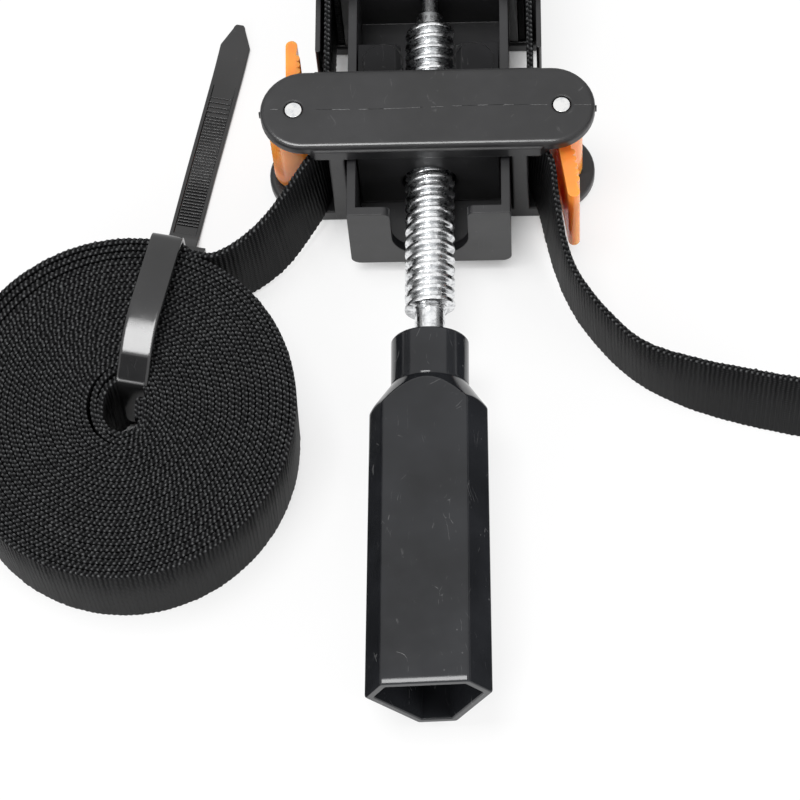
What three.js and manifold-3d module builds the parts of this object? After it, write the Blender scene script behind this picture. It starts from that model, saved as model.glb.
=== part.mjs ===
// Band clamp with a screw, in millimetres. +Z is up, +Y points to the nose and -Y to the handle.
// Turning the handle draws the carriage along the frame. Two cam levers on the carriage grip a
// webbing band that runs round the nose. The origin lies under the middle of the carriage.
import * as THREE from 'three';
import { mergeVertices } from 'three/addons/utils/BufferGeometryUtils.js';
import Module from 'manifold-3d';

const wasm = await Module();
wasm.setup();

// Clearances and overruns
const seatGap = 0.3; // between pieces that touch
const cutOverrun = 1.0; // how far a cut passes the faces that it opens
const weldDepth = 0.2; // how far shapes of one moulding reach into each other

// Webbing band
const bandWidth = 25.0;
const bandThickness = 1.1;
const bandPlay = 0.6; // above the band in the carriage's windows, and below it
const runFront = -3.0;
const runBack = 48.5; // inside a guide slot at both ends of the carriage's travel

// Spindle with a right-hand trapezoidal thread
const threadPitch = 3.0;
const threadRadius = 5.85;
const threadDepth = 1.5;
const threadCrestShare = 0.32;
const threadFlankShare = 0.16;
const threadSides = 18;
const threadChamfer = 1.3;
const threadFront = 31.4;
const threadBack = -45.4;
const shankRadius = 3.6;
const shankGrip = 11.6; // length of shank inside the handle
const neckRadius = 3.3;
const neckLength = 4.0;
const pilotRadius = 1.95;

// Frame: a channel with an end wall
const railInside = 17.3; // from the middle plane to a rail's inner face
const railThickness = 2.1;
const railLift = 1.0; // of the rails and the floor above the windows' lower face
const railDrop = 0.95; // of the rails below the windows' upper face
const floorThickness = 2.0;
const channelCornerRadius = 2.5;
const endWallOuter = -25.7;
const endWallThickness = 2.2;
const notchRadius = 9.2;
const notchLipRadius = 1.8;

// Nose of the frame
const noseBack = 35.5;
const noseFront = 66.5;
const noseCornerRadius = 6.0;
const noseEdgeRadius = 0.7;
const noseWallBack = 40.5; // where the channel ends
const guideInside = 21.6; // inner wall of the slot that guides the band
const guideOutside = 26.2;
const fenceThickness = 1.2;
const fenceEnd = 19.4;
const bandRecess = 0.7; // how far the nose's flanges stand past the band
const ringPocketBack = 44.5;
const ringPocketLength = 4.6;
const ringPocketHalfWidth = 6.0;
const padThickness = 0.8;
const ringThickness = 0.9;
const ringWall = 1.7;

// Carriage
const plateWidth = 21.0;
const plateThickness = 3.7;
const plateEdgeRadius = 0.9;
const plateMargin = 8.0; // from a pin to the plate's end
const windowBottom = 3.8;
const roofThickness = 5.0; // from the windows to the top of the plate
const ledgeHalfLength = 29.4;
const ledgeHalfWidth = 11.1;
const ledgeThickness = 3.6;
const ledgeChamfer = 2.4;
const railGap = 0.6; // between a rail and the web beside it
const webThickness = 3.7;
const blockFront = -10.2;
const blockBack = 21.6;
const shelfDrop = 1.6; // of the block's rear shelf below the windows' upper face
const grooveRadius = 6.6;
const grooveLip = 1.5;
const nutLength = 14.0;
const nutWidth = 17.0;
const nutLift = 2.0; // of the nut above the frame's floor

// Cam levers and their pins
const leverRadius = 6.6; // from a pin to the band, where a closed lever's teeth touch it
const pinRadius = 2.0;
const pinRecess = 0.1;
const leverFloorGap = 1.3;
const leverCloseDegrees = 277; // where the right lever's tongue points
const leverOpenDegrees = 93; // where the left lever's tongue points
const gripFromTongueDegrees = 97;
const gripRiseDegrees = 60;
const gripReliefDegrees = 80;
const gripRise = 0.35;
const gripRelief = 1.6;
const gripToothCount = 10;
const gripToothDepth = 0.45;
const hubSides = 14;
const tongueReach = 22.3;
const tongueInnerSide = 2.1; // from the line through pin and tip
const tongueOuterSide = 1.0;
const tongueTipRadius = 1.45;
const scallopCount = 5;
const scallopPitch = 1.8;
const scallopStart = 9.3;

// Handle: a hollow three-sided grip with cut corners
const handleFront = -53.8;
const handleEnd = -143.8;
const handleNeckRadius = 9.2;
const handleNeckLength = 13.8;
const handleShoulderRadius = 11.0;
const handleConeDegrees = 30;
const handleWideFlat = 10.5; // from the axis, at the neck end
const handleNarrowFlat = 13.7;
const handleGrowth = 0.6; // of both, at the open end
const handleWall = 2.0;
const handleCeiling = 8.0; // from the shoulder to the hollow
const handleTurnDegrees = 4.8;
const handleEdge = 0.5;

// Roll of webbing
const coilX = -71.6;
const coilY = -72.5;
const coilOuterRadius = 43.1;
const coilCoreHalfWidth = 4.9;
const coilCoreHalfLength = 6.9;
const coilLoops = 22;
const coilStepsPerLoop = 24;
const coilStartDegrees = 71;

// Cable tie round one side of the roll
const tieDegrees = 78.5;
const tieWidth = 8.8;
const tieThickness = 1.2;
const tieLift = 1.7; // how far the webbing is pressed up over the tie
const tieTipWidth = 3.0;
const tieHeadWidth = 12.2;
const tieHeadLength = 6.6;
const tieHeadHeight = 5.0;
const tieHeadFloor = 1.55;
const tieHeadStart = 46.3; // from the roll's middle
const tieSlotHeight = 3.0;

// Worked out from the sizes above
const railOutside = railInside + railThickness;
const webInside = railOutside + railGap;
const webOutside = webInside + webThickness;
const bandInside = webOutside + seatGap;
const bandOutside = bandInside + bandThickness;
const bandMiddle = (bandInside + bandOutside) / 2;
const pinOffset = bandOutside + seatGap + leverRadius;
const plateLength = 2 * (pinOffset + plateMargin);
const windowTop = windowBottom + bandWidth + 2 * bandPlay;
const windowMiddle = (windowBottom + windowTop) / 2;
const clampHeight = windowTop + roofThickness;
const frameBottom = windowBottom + railLift;
const frameTop = windowTop - railDrop;
const shelfTop = windowTop - shelfDrop;
const bandLow = windowMiddle - bandWidth / 2;
const bandHigh = windowMiddle + bandWidth / 2;
const fenceOutside = guideOutside + fenceThickness;
const endWallInner = endWallOuter + endWallThickness;
const floorTop = frameBottom + floorThickness;
const spindleHeight = floorTop + nutLift + nutWidth / 2;
const noseCoreFront = noseFront - bandRecess - bandThickness - seatGap;
const noseCoreRadius = noseCornerRadius - bandRecess - bandThickness - seatGap;
const padFront = ringPocketBack + ringPocketLength - seatGap;
const padBack = padFront - padThickness;
const pilotFront = padBack - seatGap;
const shankEnd = handleFront - shankGrip;
const shoulderY = handleFront - handleNeckLength;

// Turns the faces round where they point inwards
function facingOut(geometry) {
  const places = geometry.attributes.position;
  const index = geometry.index.array;
  const [a, b, c] = [new THREE.Vector3(), new THREE.Vector3(), new THREE.Vector3()];
  let volume = 0;
  for (let face = 0; face < index.length; face += 3) {
    a.fromBufferAttribute(places, index[face]);
    b.fromBufferAttribute(places, index[face + 1]);
    c.fromBufferAttribute(places, index[face + 2]);
    volume += a.dot(b.cross(c));
  }
  if (volume < 0) index.reverse();
  geometry.computeVertexNormals();
  return geometry;
}

// A geometry from a list of points and a list of faces
function meshOf(points, faces) {
  const geometry = new THREE.BufferGeometry();
  geometry.setAttribute('position', new THREE.Float32BufferAttribute(points.flat(), 3));
  geometry.setIndex(faces);
  return facingOut(geometry);
}

// Solids that can be joined and cut, and the way back
function solidOf(geometry) {
  const bare = geometry.clone();
  bare.deleteAttribute('normal');
  bare.deleteAttribute('uv');
  const welded = mergeVertices(bare);
  return new wasm.Manifold(new wasm.Mesh({
    numProp: 3,
    vertProperties: new Float32Array(welded.attributes.position.array),
    triVerts: new Uint32Array(welded.index.array),
  }));
}

function geometryOf(solid) {
  const mesh = solid.getMesh();
  const geometry = new THREE.BufferGeometry();
  geometry.setAttribute('position', new THREE.BufferAttribute(new Float32Array(mesh.vertProperties), 3));
  geometry.setIndex(new THREE.BufferAttribute(new Uint32Array(mesh.triVerts), 1));
  geometry.computeVertexNormals();
  return geometry;
}

function joined(geometries) {
  const solids = geometries.map((geometry) => solidOf(geometry));
  return solids.reduce((whole, solid) => whole.add(solid));
}

function withCuts(solid, geometries) {
  return geometries.reduce((whole, geometry) => whole.subtract(solidOf(geometry)), solid);
}

function box(lowX, highX, lowY, highY, lowZ, highZ) {
  const geometry = new THREE.BoxGeometry(highX - lowX, highY - lowY, highZ - lowZ);
  return geometry.translate((lowX + highX) / 2, (lowY + highY) / 2, (lowZ + highZ) / 2);
}

// The same box on the right side and on the left
function boxPair(nearX, farX, lowY, highY, lowZ, highZ) {
  return [box(nearX, farX, lowY, highY, lowZ, highZ), box(-farX, -nearX, lowY, highY, lowZ, highZ)];
}

// A shape drawn in X and Y, raised between two heights, with rounded edges where asked
function upright(shape, lowZ, highZ, edgeRadius = 0) {
  const geometry = new THREE.ExtrudeGeometry(shape, {
    depth: highZ - lowZ - 2 * edgeRadius,
    curveSegments: 10,
    bevelEnabled: edgeRadius > 0,
    bevelSize: edgeRadius,
    bevelThickness: edgeRadius,
    bevelOffset: -edgeRadius,
    bevelSegments: 2,
  });
  return geometry.translate(0, 0, lowZ + edgeRadius);
}

// A shape drawn in X and Z, drawn out between two places along Y
function lengthwise(shape, lowY, highY) {
  const geometry = new THREE.ExtrudeGeometry(shape, {
    depth: highY - lowY,
    curveSegments: 10,
    bevelEnabled: false,
  });
  return geometry.rotateX(Math.PI / 2).translate(0, highY, 0);
}

// A turned piece on the spindle's axis, from pairs of radius and place along Y
function turned(profile, sides = 28) {
  const points = profile.map(([radius, y]) => new THREE.Vector2(radius, y));
  return facingOut(new THREE.LatheGeometry(points, sides)).translate(0, 0, spindleHeight);
}

function turnedRod(radius, lowY, highY, sides) {
  return turned([[0, lowY], [radius, lowY], [radius, highY], [0, highY]], sides);
}

// A flat strip along stations, each with its middle, the direction across its width and its width
function strip(stations, thickness) {
  const corners = [[-1, -1], [1, -1], [1, 1], [-1, 1]];
  const last = stations.length - 1;
  const points = [];
  stations.forEach(({ at, across, width }, index) => {
    const before = stations[Math.max(index - 1, 0)].at;
    const after = stations[Math.min(index + 1, last)].at;
    const side = after.clone().sub(before).cross(across).normalize();
    for (const [sideways, upwards] of corners) {
      const corner = at.clone();
      corner.addScaledVector(side, sideways * thickness / 2);
      corner.addScaledVector(across, upwards * width / 2);
      points.push(corner.toArray());
    }
  });
  const faces = [];
  for (let row = 0; row < last; row += 1) {
    for (let edge = 0; edge < corners.length; edge += 1) {
      const near = row * corners.length + edge;
      const next = row * corners.length + (edge + 1) % corners.length;
      const nearAhead = near + corners.length;
      const nextAhead = next + corners.length;
      faces.push(near, nearAhead, nextAhead, near, nextAhead, next);
    }
  }
  const end = last * corners.length;
  faces.push(0, 1, 2, 0, 2, 3, end, end + 2, end + 1, end, end + 3, end + 2);
  return meshOf(points, faces);
}

const clamp = new THREE.Group();
const finishes = {
  blackPlastic: { color: 0x2b2b2d, roughness: 0.45, metalness: 0 },
  glossyBlack: { color: 0x1b1b1e, roughness: 0.2, metalness: 0 },
  orangePlastic: { color: 0xf2691e, roughness: 0.3, metalness: 0 },
  platedSteel: { color: 0xc9ccd0, roughness: 0.25, metalness: 1 },
  aluminium: { color: 0xd9dadb, roughness: 0.4, metalness: 1 },
  webbing: { color: 0x1c1c1d, roughness: 0.9, metalness: 0 },
  tiePlastic: { color: 0x202022, roughness: 0.3, metalness: 0 },
};

function addPart(name, geometry, finish) {
  const mesh = new THREE.Mesh(geometry, new THREE.MeshStandardMaterial(finishes[finish]));
  mesh.name = name;
  clamp.add(mesh);
}

// Frame body: the outside of the channel's section, with round lower corners
function channelOutside() {
  const inner = railOutside - channelCornerRadius;
  const corner = frameBottom + channelCornerRadius;
  const section = new THREE.Shape();
  section.moveTo(-railOutside, frameTop);
  section.lineTo(-railOutside, corner);
  section.absarc(-inner, corner, channelCornerRadius, Math.PI, 1.5 * Math.PI);
  section.lineTo(inner, frameBottom);
  section.absarc(inner, corner, channelCornerRadius, 1.5 * Math.PI, 2 * Math.PI);
  section.lineTo(railOutside, frameTop);
  return section;
}

// Frame body: the channel
function channel() {
  const section = channelOutside();
  section.lineTo(railInside, frameTop);
  section.lineTo(railInside, floorTop);
  section.lineTo(-railInside, floorTop);
  section.lineTo(-railInside, frameTop);
  return lengthwise(section, endWallInner - weldDepth, noseWallBack);
}

// Frame body: the end wall with the notch that the spindle lies in
function endWall() {
  const lip = notchRadius + notchLipRadius;
  const section = channelOutside();
  section.lineTo(lip, frameTop);
  section.absarc(lip, frameTop - notchLipRadius, notchLipRadius, Math.PI / 2, Math.PI);
  section.lineTo(notchRadius, spindleHeight);
  section.absarc(0, spindleHeight, notchRadius, 0, Math.PI, true);
  section.lineTo(-notchRadius, frameTop - notchLipRadius);
  section.absarc(-lip, frameTop - notchLipRadius, notchLipRadius, 0, Math.PI / 2);
  return lengthwise(section, endWallOuter, endWallInner);
}

// An outline with a straight back and two round front corners
function noseOutline(halfWidth, back, front, radius) {
  const outline = new THREE.Shape();
  outline.moveTo(-halfWidth, back);
  outline.lineTo(halfWidth, back);
  outline.lineTo(halfWidth, front - radius);
  outline.absarc(halfWidth - radius, front - radius, radius, 0, Math.PI / 2);
  outline.lineTo(-halfWidth + radius, front);
  outline.absarc(-halfWidth + radius, front - radius, radius, Math.PI / 2, Math.PI);
  return outline;
}

// Frame body: two flanges on a core, with a fence outside each guide slot
function noseShapes() {
  const flange = noseOutline(fenceOutside, noseBack, noseFront, noseCornerRadius);
  const core = noseOutline(guideInside, noseBack + noseEdgeRadius, noseCoreFront, noseCoreRadius);
  const fenceFront = noseFront - noseCornerRadius;
  const tipRadius = fenceThickness / 2;
  const tipX = guideOutside + tipRadius;
  const tips = [-tipX, tipX].map((x) => {
    const tip = new THREE.CylinderGeometry(tipRadius, tipRadius, frameTop - frameBottom, 12);
    return tip.rotateX(Math.PI / 2).translate(x, fenceEnd + tipRadius, (frameTop + frameBottom) / 2);
  });
  const low = windowBottom - weldDepth;
  const high = windowTop + weldDepth;
  return [
    upright(flange, 0, windowBottom, noseEdgeRadius),
    upright(flange, windowTop, clampHeight, noseEdgeRadius),
    upright(core, low, high),
    ...boxPair(guideOutside, fenceOutside, fenceEnd + tipRadius, fenceFront, frameBottom, frameTop),
    ...boxPair(guideOutside, fenceOutside, noseBack + noseEdgeRadius, fenceFront, low, high),
    ...tips,
  ];
}

function frameBody() {
  const body = joined([channel(), endWall(), ...noseShapes()]);
  return geometryOf(withCuts(body, [
    box(-railInside, railInside, noseBack - cutOverrun, noseWallBack, floorTop, clampHeight + cutOverrun),
    turnedRod(pilotRadius + seatGap, noseWallBack - cutOverrun, ringPocketBack + weldDepth, 20),
    box(-ringPocketHalfWidth, ringPocketHalfWidth, ringPocketBack, ringPocketBack + ringPocketLength,
      -cutOverrun, spindleHeight + ringPocketHalfWidth),
  ]));
}

addPart('frame_body', frameBody(), 'blackPlastic');

// Carriage body: the outline of a plate with round ends
function plateOutline() {
  const radius = plateWidth / 2;
  const middle = plateLength / 2 - radius;
  const outline = new THREE.Shape();
  outline.moveTo(-middle, -radius);
  outline.lineTo(middle, -radius);
  outline.absarc(middle, 0, radius, -Math.PI / 2, Math.PI / 2);
  outline.lineTo(-middle, radius);
  outline.absarc(-middle, 0, radius, Math.PI / 2, 1.5 * Math.PI);
  return outline;
}

// Carriage body: the broader ledge beside each plate, with cut corners
function ledgeOutline() {
  const innerX = ledgeHalfLength - ledgeChamfer;
  const innerY = ledgeHalfWidth - ledgeChamfer;
  const outline = new THREE.Shape();
  outline.moveTo(-innerX, -ledgeHalfWidth);
  outline.lineTo(innerX, -ledgeHalfWidth);
  outline.lineTo(ledgeHalfLength, -innerY);
  outline.lineTo(ledgeHalfLength, innerY);
  outline.lineTo(innerX, ledgeHalfWidth);
  outline.lineTo(-innerX, ledgeHalfWidth);
  outline.lineTo(-ledgeHalfLength, innerY);
  outline.lineTo(-ledgeHalfLength, -innerY);
  return outline;
}

// Carriage body: the open groove that the spindle runs in behind the nut
function grooveOutline() {
  const lip = grooveRadius + grooveLip;
  const outline = new THREE.Shape();
  outline.moveTo(lip, shelfTop + cutOverrun);
  outline.lineTo(-lip, shelfTop + cutOverrun);
  outline.lineTo(-lip, shelfTop);
  outline.lineTo(-grooveRadius, shelfTop - grooveLip);
  outline.lineTo(-grooveRadius, spindleHeight);
  outline.absarc(0, spindleHeight, grooveRadius, Math.PI, 2 * Math.PI);
  outline.lineTo(grooveRadius, shelfTop - grooveLip);
  outline.lineTo(lip, shelfTop);
  return outline;
}

function carriageBody() {
  const low = windowBottom - weldDepth;
  const high = windowTop + weldDepth;
  const blockSide = railInside - seatGap;
  const stemBack = plateWidth / 2 - plateEdgeRadius;
  const body = joined([
    upright(plateOutline(), 0, windowBottom, plateEdgeRadius),
    upright(plateOutline(), clampHeight - plateThickness, clampHeight, plateEdgeRadius),
    upright(ledgeOutline(), 0, windowBottom),
    upright(ledgeOutline(), windowTop, windowTop + ledgeThickness),
    ...boxPair(webInside, webOutside, -ledgeHalfWidth, ledgeHalfWidth, low, high),
    box(-blockSide, blockSide, blockFront, blockBack, floorTop + seatGap, shelfTop),
    box(-blockSide, blockSide, blockFront, stemBack, shelfTop - weldDepth, high),
  ]);
  const nutSeat = nutWidth / 2 + seatGap;
  const nutSeatEnd = nutLength / 2 + seatGap;
  const holes = [-1, 1].map((side) => {
    const radius = pinRadius + seatGap;
    const hole = new THREE.CylinderGeometry(radius, radius, clampHeight + 2 * cutOverrun, 24);
    return hole.rotateX(Math.PI / 2).translate(side * pinOffset, 0, clampHeight / 2);
  });
  return geometryOf(withCuts(body, [
    lengthwise(grooveOutline(), nutSeatEnd - weldDepth, blockBack + cutOverrun),
    turnedRod(grooveRadius, blockFront - cutOverrun, weldDepth - nutSeatEnd),
    box(-nutSeat, nutSeat, -nutSeatEnd, nutSeatEnd, spindleHeight - nutSeat, spindleHeight + nutSeat),
    ...holes,
  ]));
}

addPart('carriage_body', carriageBody(), 'blackPlastic');

// Spindle nut: a square block with a clear bore round the thread
function spindleNut() {
  const half = nutWidth / 2;
  const block = box(-half, half, -nutLength / 2, nutLength / 2, spindleHeight - half, spindleHeight + half);
  const bore = turnedRod(threadRadius + seatGap, -nutLength, nutLength);
  return geometryOf(withCuts(solidOf(block), [bore]));
}

addPart('spindle_nut', spindleNut(), 'platedSteel');

// Spindle: the thread's skin is a grid whose rows are helices along the corners of its profile.
// One turn takes a row to the row of the same corner one pitch on.
function threadSkin() {
  const minorRadius = threadRadius - threadDepth;
  const corners = [
    [0, minorRadius],
    [threadFlankShare, threadRadius],
    [threadFlankShare + threadCrestShare, threadRadius],
    [2 * threadFlankShare + threadCrestShare, minorRadius],
  ];
  const perPitch = corners.length;
  const pitches = Math.ceil((threadFront - threadBack) / threadPitch) + 4;
  const rows = pitches * perPitch;
  const startY = threadFront + 2 * threadPitch;
  const points = [];
  function addPoint(row, column) {
    const [share, radius] = corners[row % perPitch];
    const angle = 2 * Math.PI * column / threadSides;
    const y = startY - threadPitch * (Math.floor(row / perPitch) + share + column / threadSides);
    points.push([radius * Math.cos(angle), y, spindleHeight + radius * Math.sin(angle)]);
  }
  for (let row = 0; row < rows + perPitch; row += 1) addPoint(row, 0);
  for (let column = 1; column < threadSides; column += 1) {
    for (let row = 0; row < rows; row += 1) addPoint(row, column);
  }
  function at(row, column) {
    if (column === 0) return row;
    if (column === threadSides) return row + perPitch;
    return rows + perPitch + (column - 1) * rows + row;
  }
  const faces = [];
  for (let column = 0; column < threadSides; column += 1) {
    for (let row = 0; row < rows - 1; row += 1) {
      faces.push(at(row, column), at(row + 1, column), at(row + 1, column + 1));
      faces.push(at(row, column), at(row + 1, column + 1), at(row, column + 1));
    }
  }
  for (const [row, y] of [[0, startY + threadPitch], [rows - 1, startY - threadPitch * (pitches + 2)]]) {
    const rim = [];
    for (let column = 0; column < threadSides; column += 1) rim.push(at(row, column));
    for (let step = perPitch; step > 0; step -= 1) rim.push(at(row + step, 0));
    const middle = points.length;
    points.push([0, y, spindleHeight]);
    rim.forEach((point, index) => {
      const next = rim[(index + 1) % rim.length];
      if (row === 0) faces.push(middle, point, next);
      else faces.push(middle, next, point);
    });
  }
  return meshOf(points, faces);
}

function spindle() {
  const innerRadius = threadRadius - threadChamfer;
  const ends = turned([
    [0, threadBack],
    [innerRadius, threadBack],
    [threadRadius + cutOverrun, threadBack + threadChamfer + cutOverrun],
    [threadRadius + cutOverrun, threadFront - threadChamfer - cutOverrun],
    [innerRadius, threadFront],
    [0, threadFront],
  ]);
  const core = turned([
    [0, shankEnd],
    [shankRadius, shankEnd],
    [shankRadius, threadFront - weldDepth],
    [neckRadius, threadFront - weldDepth],
    [neckRadius, threadFront + neckLength],
    [pilotRadius, threadFront + neckLength],
    [pilotRadius, pilotFront],
    [0, pilotFront],
  ], threadSides);
  return geometryOf(solidOf(threadSkin()).intersect(solidOf(ends)).add(solidOf(core)));
}

addPart('spindle', spindle(), 'platedSteel');

// Thrust pad that the pilot's tip turns on, and the ring that keeps the pilot in the nose
addPart('thrust_pad', turnedRod(ringPocketHalfWidth - seatGap, padBack, padFront, 24), 'platedSteel');

const ringInner = pilotRadius + seatGap;
const ringOuter = ringInner + ringWall;
const ringBack = ringPocketBack + seatGap;
const ringFront = ringBack + ringThickness;
addPart('retaining_ring', turned([
  [ringInner, ringBack],
  [ringOuter, ringBack],
  [ringOuter, ringFront],
  [ringInner, ringFront],
  [ringInner, ringBack],
], 20), 'platedSteel');

// Handle: corners of the grip's section, three wide flats and three narrow ones
function gripCorners(wideFlat, narrowFlat) {
  const halfLength = (narrowFlat - wideFlat / 2) / Math.cos(Math.PI / 6);
  const reach = Math.hypot(wideFlat, halfLength);
  const spread = Math.atan2(halfLength, wideFlat);
  const turn = THREE.MathUtils.degToRad(handleTurnDegrees);
  const corners = [];
  for (let flat = 0; flat < 3; flat += 1) {
    const normal = turn + Math.PI / 2 + flat * 2 * Math.PI / 3;
    for (const end of [-1, 1]) {
      corners.push([reach * Math.cos(normal + end * spread), reach * Math.sin(normal + end * spread)]);
    }
  }
  return corners;
}

// Handle: a prism along Y that follows the grip's growth toward its open end
function gripPrism(nearY, farY, inset) {
  const points = [];
  for (const y of [nearY, farY]) {
    const growth = handleGrowth * (shoulderY - y) / (shoulderY - handleEnd);
    for (const [x, z] of gripCorners(handleWideFlat + growth - inset, handleNarrowFlat + growth - inset)) {
      points.push([x, y, spindleHeight + z]);
    }
  }
  const sides = points.length / 2;
  const faces = [];
  for (let corner = 0; corner < sides; corner += 1) {
    const next = (corner + 1) % sides;
    faces.push(corner, corner + sides, next + sides, corner, next + sides, next);
  }
  for (let corner = 1; corner < sides - 1; corner += 1) {
    faces.push(0, corner, corner + 1, sides, sides + corner + 1, sides + corner);
  }
  return meshOf(points, faces);
}

function handleGrip() {
  const widest = handleNarrowFlat + handleGrowth + handleWall;
  const coneLength = (widest - handleShoulderRadius) / Math.tan(THREE.MathUtils.degToRad(handleConeDegrees));
  const shoulder = turned([
    [0, handleEnd - cutOverrun],
    [widest, handleEnd - cutOverrun],
    [widest, shoulderY - coneLength],
    [handleShoulderRadius, shoulderY],
    [0, shoulderY],
  ], 40);
  const neck = turned([
    [0, shoulderY - weldDepth],
    [handleNeckRadius, shoulderY - weldDepth],
    [handleNeckRadius, handleFront - handleEdge],
    [handleNeckRadius - handleEdge, handleFront],
    [0, handleFront],
  ], 40);
  const grip = solidOf(gripPrism(shoulderY, handleEnd, 0)).intersect(solidOf(shoulder)).add(solidOf(neck));
  return geometryOf(withCuts(grip, [
    gripPrism(shoulderY - handleCeiling, handleEnd - cutOverrun, handleWall),
    turnedRod(shankRadius + seatGap, shankEnd - seatGap, handleFront + cutOverrun, 20),
  ]));
}

addPart('handle_grip', handleGrip(), 'glossyBlack');

// Pivot pins
for (const [name, side] of [['left_pivot_pin', -1], ['right_pivot_pin', 1]]) {
  const pin = new THREE.CylinderGeometry(pinRadius, pinRadius, clampHeight - 2 * pinRecess, 24);
  addPart(name, pin.rotateX(Math.PI / 2).translate(side * pinOffset, 0, clampHeight / 2), 'aluminium');
}

// Cam levers, drawn with the pin at zero and the tongue along +X. The toothed lobe bears on the
// band when the lever is closed: it grows toward the tongue and falls away on the other side.
function lobeOutline(side) {
  const hubRadius = leverRadius - gripRelief;
  const points = [];
  function addPoint(radius, degrees) {
    const angle = THREE.MathUtils.degToRad(degrees);
    points.push(new THREE.Vector2(radius * Math.cos(angle), side * radius * Math.sin(angle)));
  }
  const span = gripRiseDegrees + gripReliefDegrees;
  const steps = gripToothCount * 2;
  for (let step = 0; step <= steps; step += 1) {
    const offset = span * step / steps - gripReliefDegrees;
    const rise = gripRise * Math.max(offset, 0) / gripRiseDegrees;
    const relief = gripRelief * Math.max(-offset, 0) / gripReliefDegrees;
    const valley = step % 2 === 0 ? gripToothDepth : 0;
    addPoint(leverRadius + rise - relief - valley, offset - gripFromTongueDegrees);
  }
  const first = gripRiseDegrees - gripFromTongueDegrees;
  const rest = 360 - span;
  for (let step = 1; step < hubSides; step += 1) {
    addPoint(hubRadius, first + rest * step / hubSides);
  }
  return new THREE.Shape(points);
}

function tongueOutline(side) {
  const tipX = tongueReach - tongueTipRadius;
  const points = [];
  function addPoint(x, y) {
    points.push(new THREE.Vector2(x, side * y));
  }
  addPoint(0, -tongueInnerSide);
  for (let step = 0; step <= 8; step += 1) {
    const angle = Math.PI * (step / 8 - 0.5);
    addPoint(tipX + tongueTipRadius * Math.cos(angle), tongueTipRadius * Math.sin(angle));
  }
  const scallopEnd = scallopStart + scallopCount * scallopPitch;
  const radius = scallopPitch / 2;
  for (let scallop = 0; scallop < scallopCount; scallop += 1) {
    const middle = scallopEnd - radius - scallop * scallopPitch;
    for (let step = 0; step < 4; step += 1) {
      const angle = Math.PI * step / 4;
      addPoint(middle + radius * Math.cos(angle), tongueOuterSide + radius * Math.sin(angle));
    }
  }
  addPoint(scallopStart, tongueOuterSide);
  addPoint(0, tongueOuterSide);
  return new THREE.Shape(points);
}

function camLever(side, tongueDegrees) {
  const low = windowBottom + leverFloorGap;
  const high = windowTop - seatGap;
  const radius = pinRadius + seatGap;
  const hole = new THREE.CylinderGeometry(radius, radius, high - low + 2 * cutOverrun, 24);
  hole.rotateX(Math.PI / 2).translate(0, 0, (low + high) / 2);
  const body = joined([upright(lobeOutline(side), low, high), upright(tongueOutline(side), low, high)]);
  const lever = geometryOf(withCuts(body, [hole]));
  lever.rotateZ(THREE.MathUtils.degToRad(tongueDegrees));
  return lever.translate(side * pinOffset, 0, 0);
}

addPart('left_cam_lever', camLever(-1, leverOpenDegrees), 'orangePlastic');
addPart('right_cam_lever', camLever(1, leverCloseDegrees), 'orangePlastic');

// Band runs: straight stretches through the cams and into the guide slots
const [rightRun, leftRun] = boxPair(bandInside, bandOutside, runFront, runBack, bandLow, bandHigh);
addPart('band_left_run', leftRun, 'webbing');
addPart('band_right_run', rightRun, 'webbing');

// Band loop round the nose's core
function noseLoop() {
  const innerX = guideInside + seatGap;
  const innerY = noseCoreFront + seatGap;
  const innerRadius = noseCoreRadius + seatGap;
  const back = noseBack + noseEdgeRadius + seatGap;
  const outerX = innerX + bandThickness;
  const outer = noseOutline(outerX, back, innerY + bandThickness, innerRadius + bandThickness);
  const inner = noseOutline(innerX, back - cutOverrun, innerY, innerRadius);
  const solid = solidOf(upright(outer, bandLow, bandHigh));
  return geometryOf(solid.subtract(solidOf(upright(inner, bandLow - cutOverrun, bandHigh + cutOverrun))));
}

addPart('band_nose_loop', noseLoop(), 'webbing');

// Roll: the webbing's middle at a share of the turns and an angle. Outer turns are round, and
// the innermost follows the oval core.
function coilPoint(turnShare, angle) {
  const outer = coilOuterRadius - bandThickness / 2;
  const core = [coilCoreHalfWidth + bandThickness / 2, coilCoreHalfLength + bandThickness / 2];
  const oval = 1 / Math.hypot(Math.cos(angle) / core[0], Math.sin(angle) / core[1]);
  const radius = THREE.MathUtils.lerp(outer, oval, turnShare);
  return new THREE.Vector3(coilX + radius * Math.cos(angle), coilY + radius * Math.sin(angle), 0);
}

// Roll: the webbing is pressed up wherever the tie passes below a step or the step beside it
function coilLift(point, angle) {
  const radius = Math.hypot(point.x - coilX, point.y - coilY);
  const fromTie = angle - THREE.MathUtils.degToRad(tieDegrees);
  const away = Math.abs(Math.atan2(Math.sin(fromTie), Math.cos(fromTie)));
  const nearer = Math.max(away - 2 * Math.PI / coilStepsPerLoop, 0);
  if (nearer > Math.PI / 2) return 0;
  return radius * Math.sin(nearer) < tieWidth / 2 + seatGap ? tieLift : 0;
}

function webbingStation(point, lift, across) {
  const at = new THREE.Vector3(point.x, point.y, point.z + (bandWidth + lift) / 2);
  return { at, across, width: bandWidth - lift };
}

function coilStations() {
  const up = new THREE.Vector3(0, 0, 1);
  const steps = coilLoops * coilStepsPerLoop;
  const stations = [];
  for (let step = 0; step <= steps; step += 1) {
    const angle = THREE.MathUtils.degToRad(coilStartDegrees) + 2 * Math.PI * step / coilStepsPerLoop;
    const point = coilPoint(step / steps, angle);
    stations.push(webbingStation(point, coilLift(point, angle), up));
  }
  return stations;
}

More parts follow.
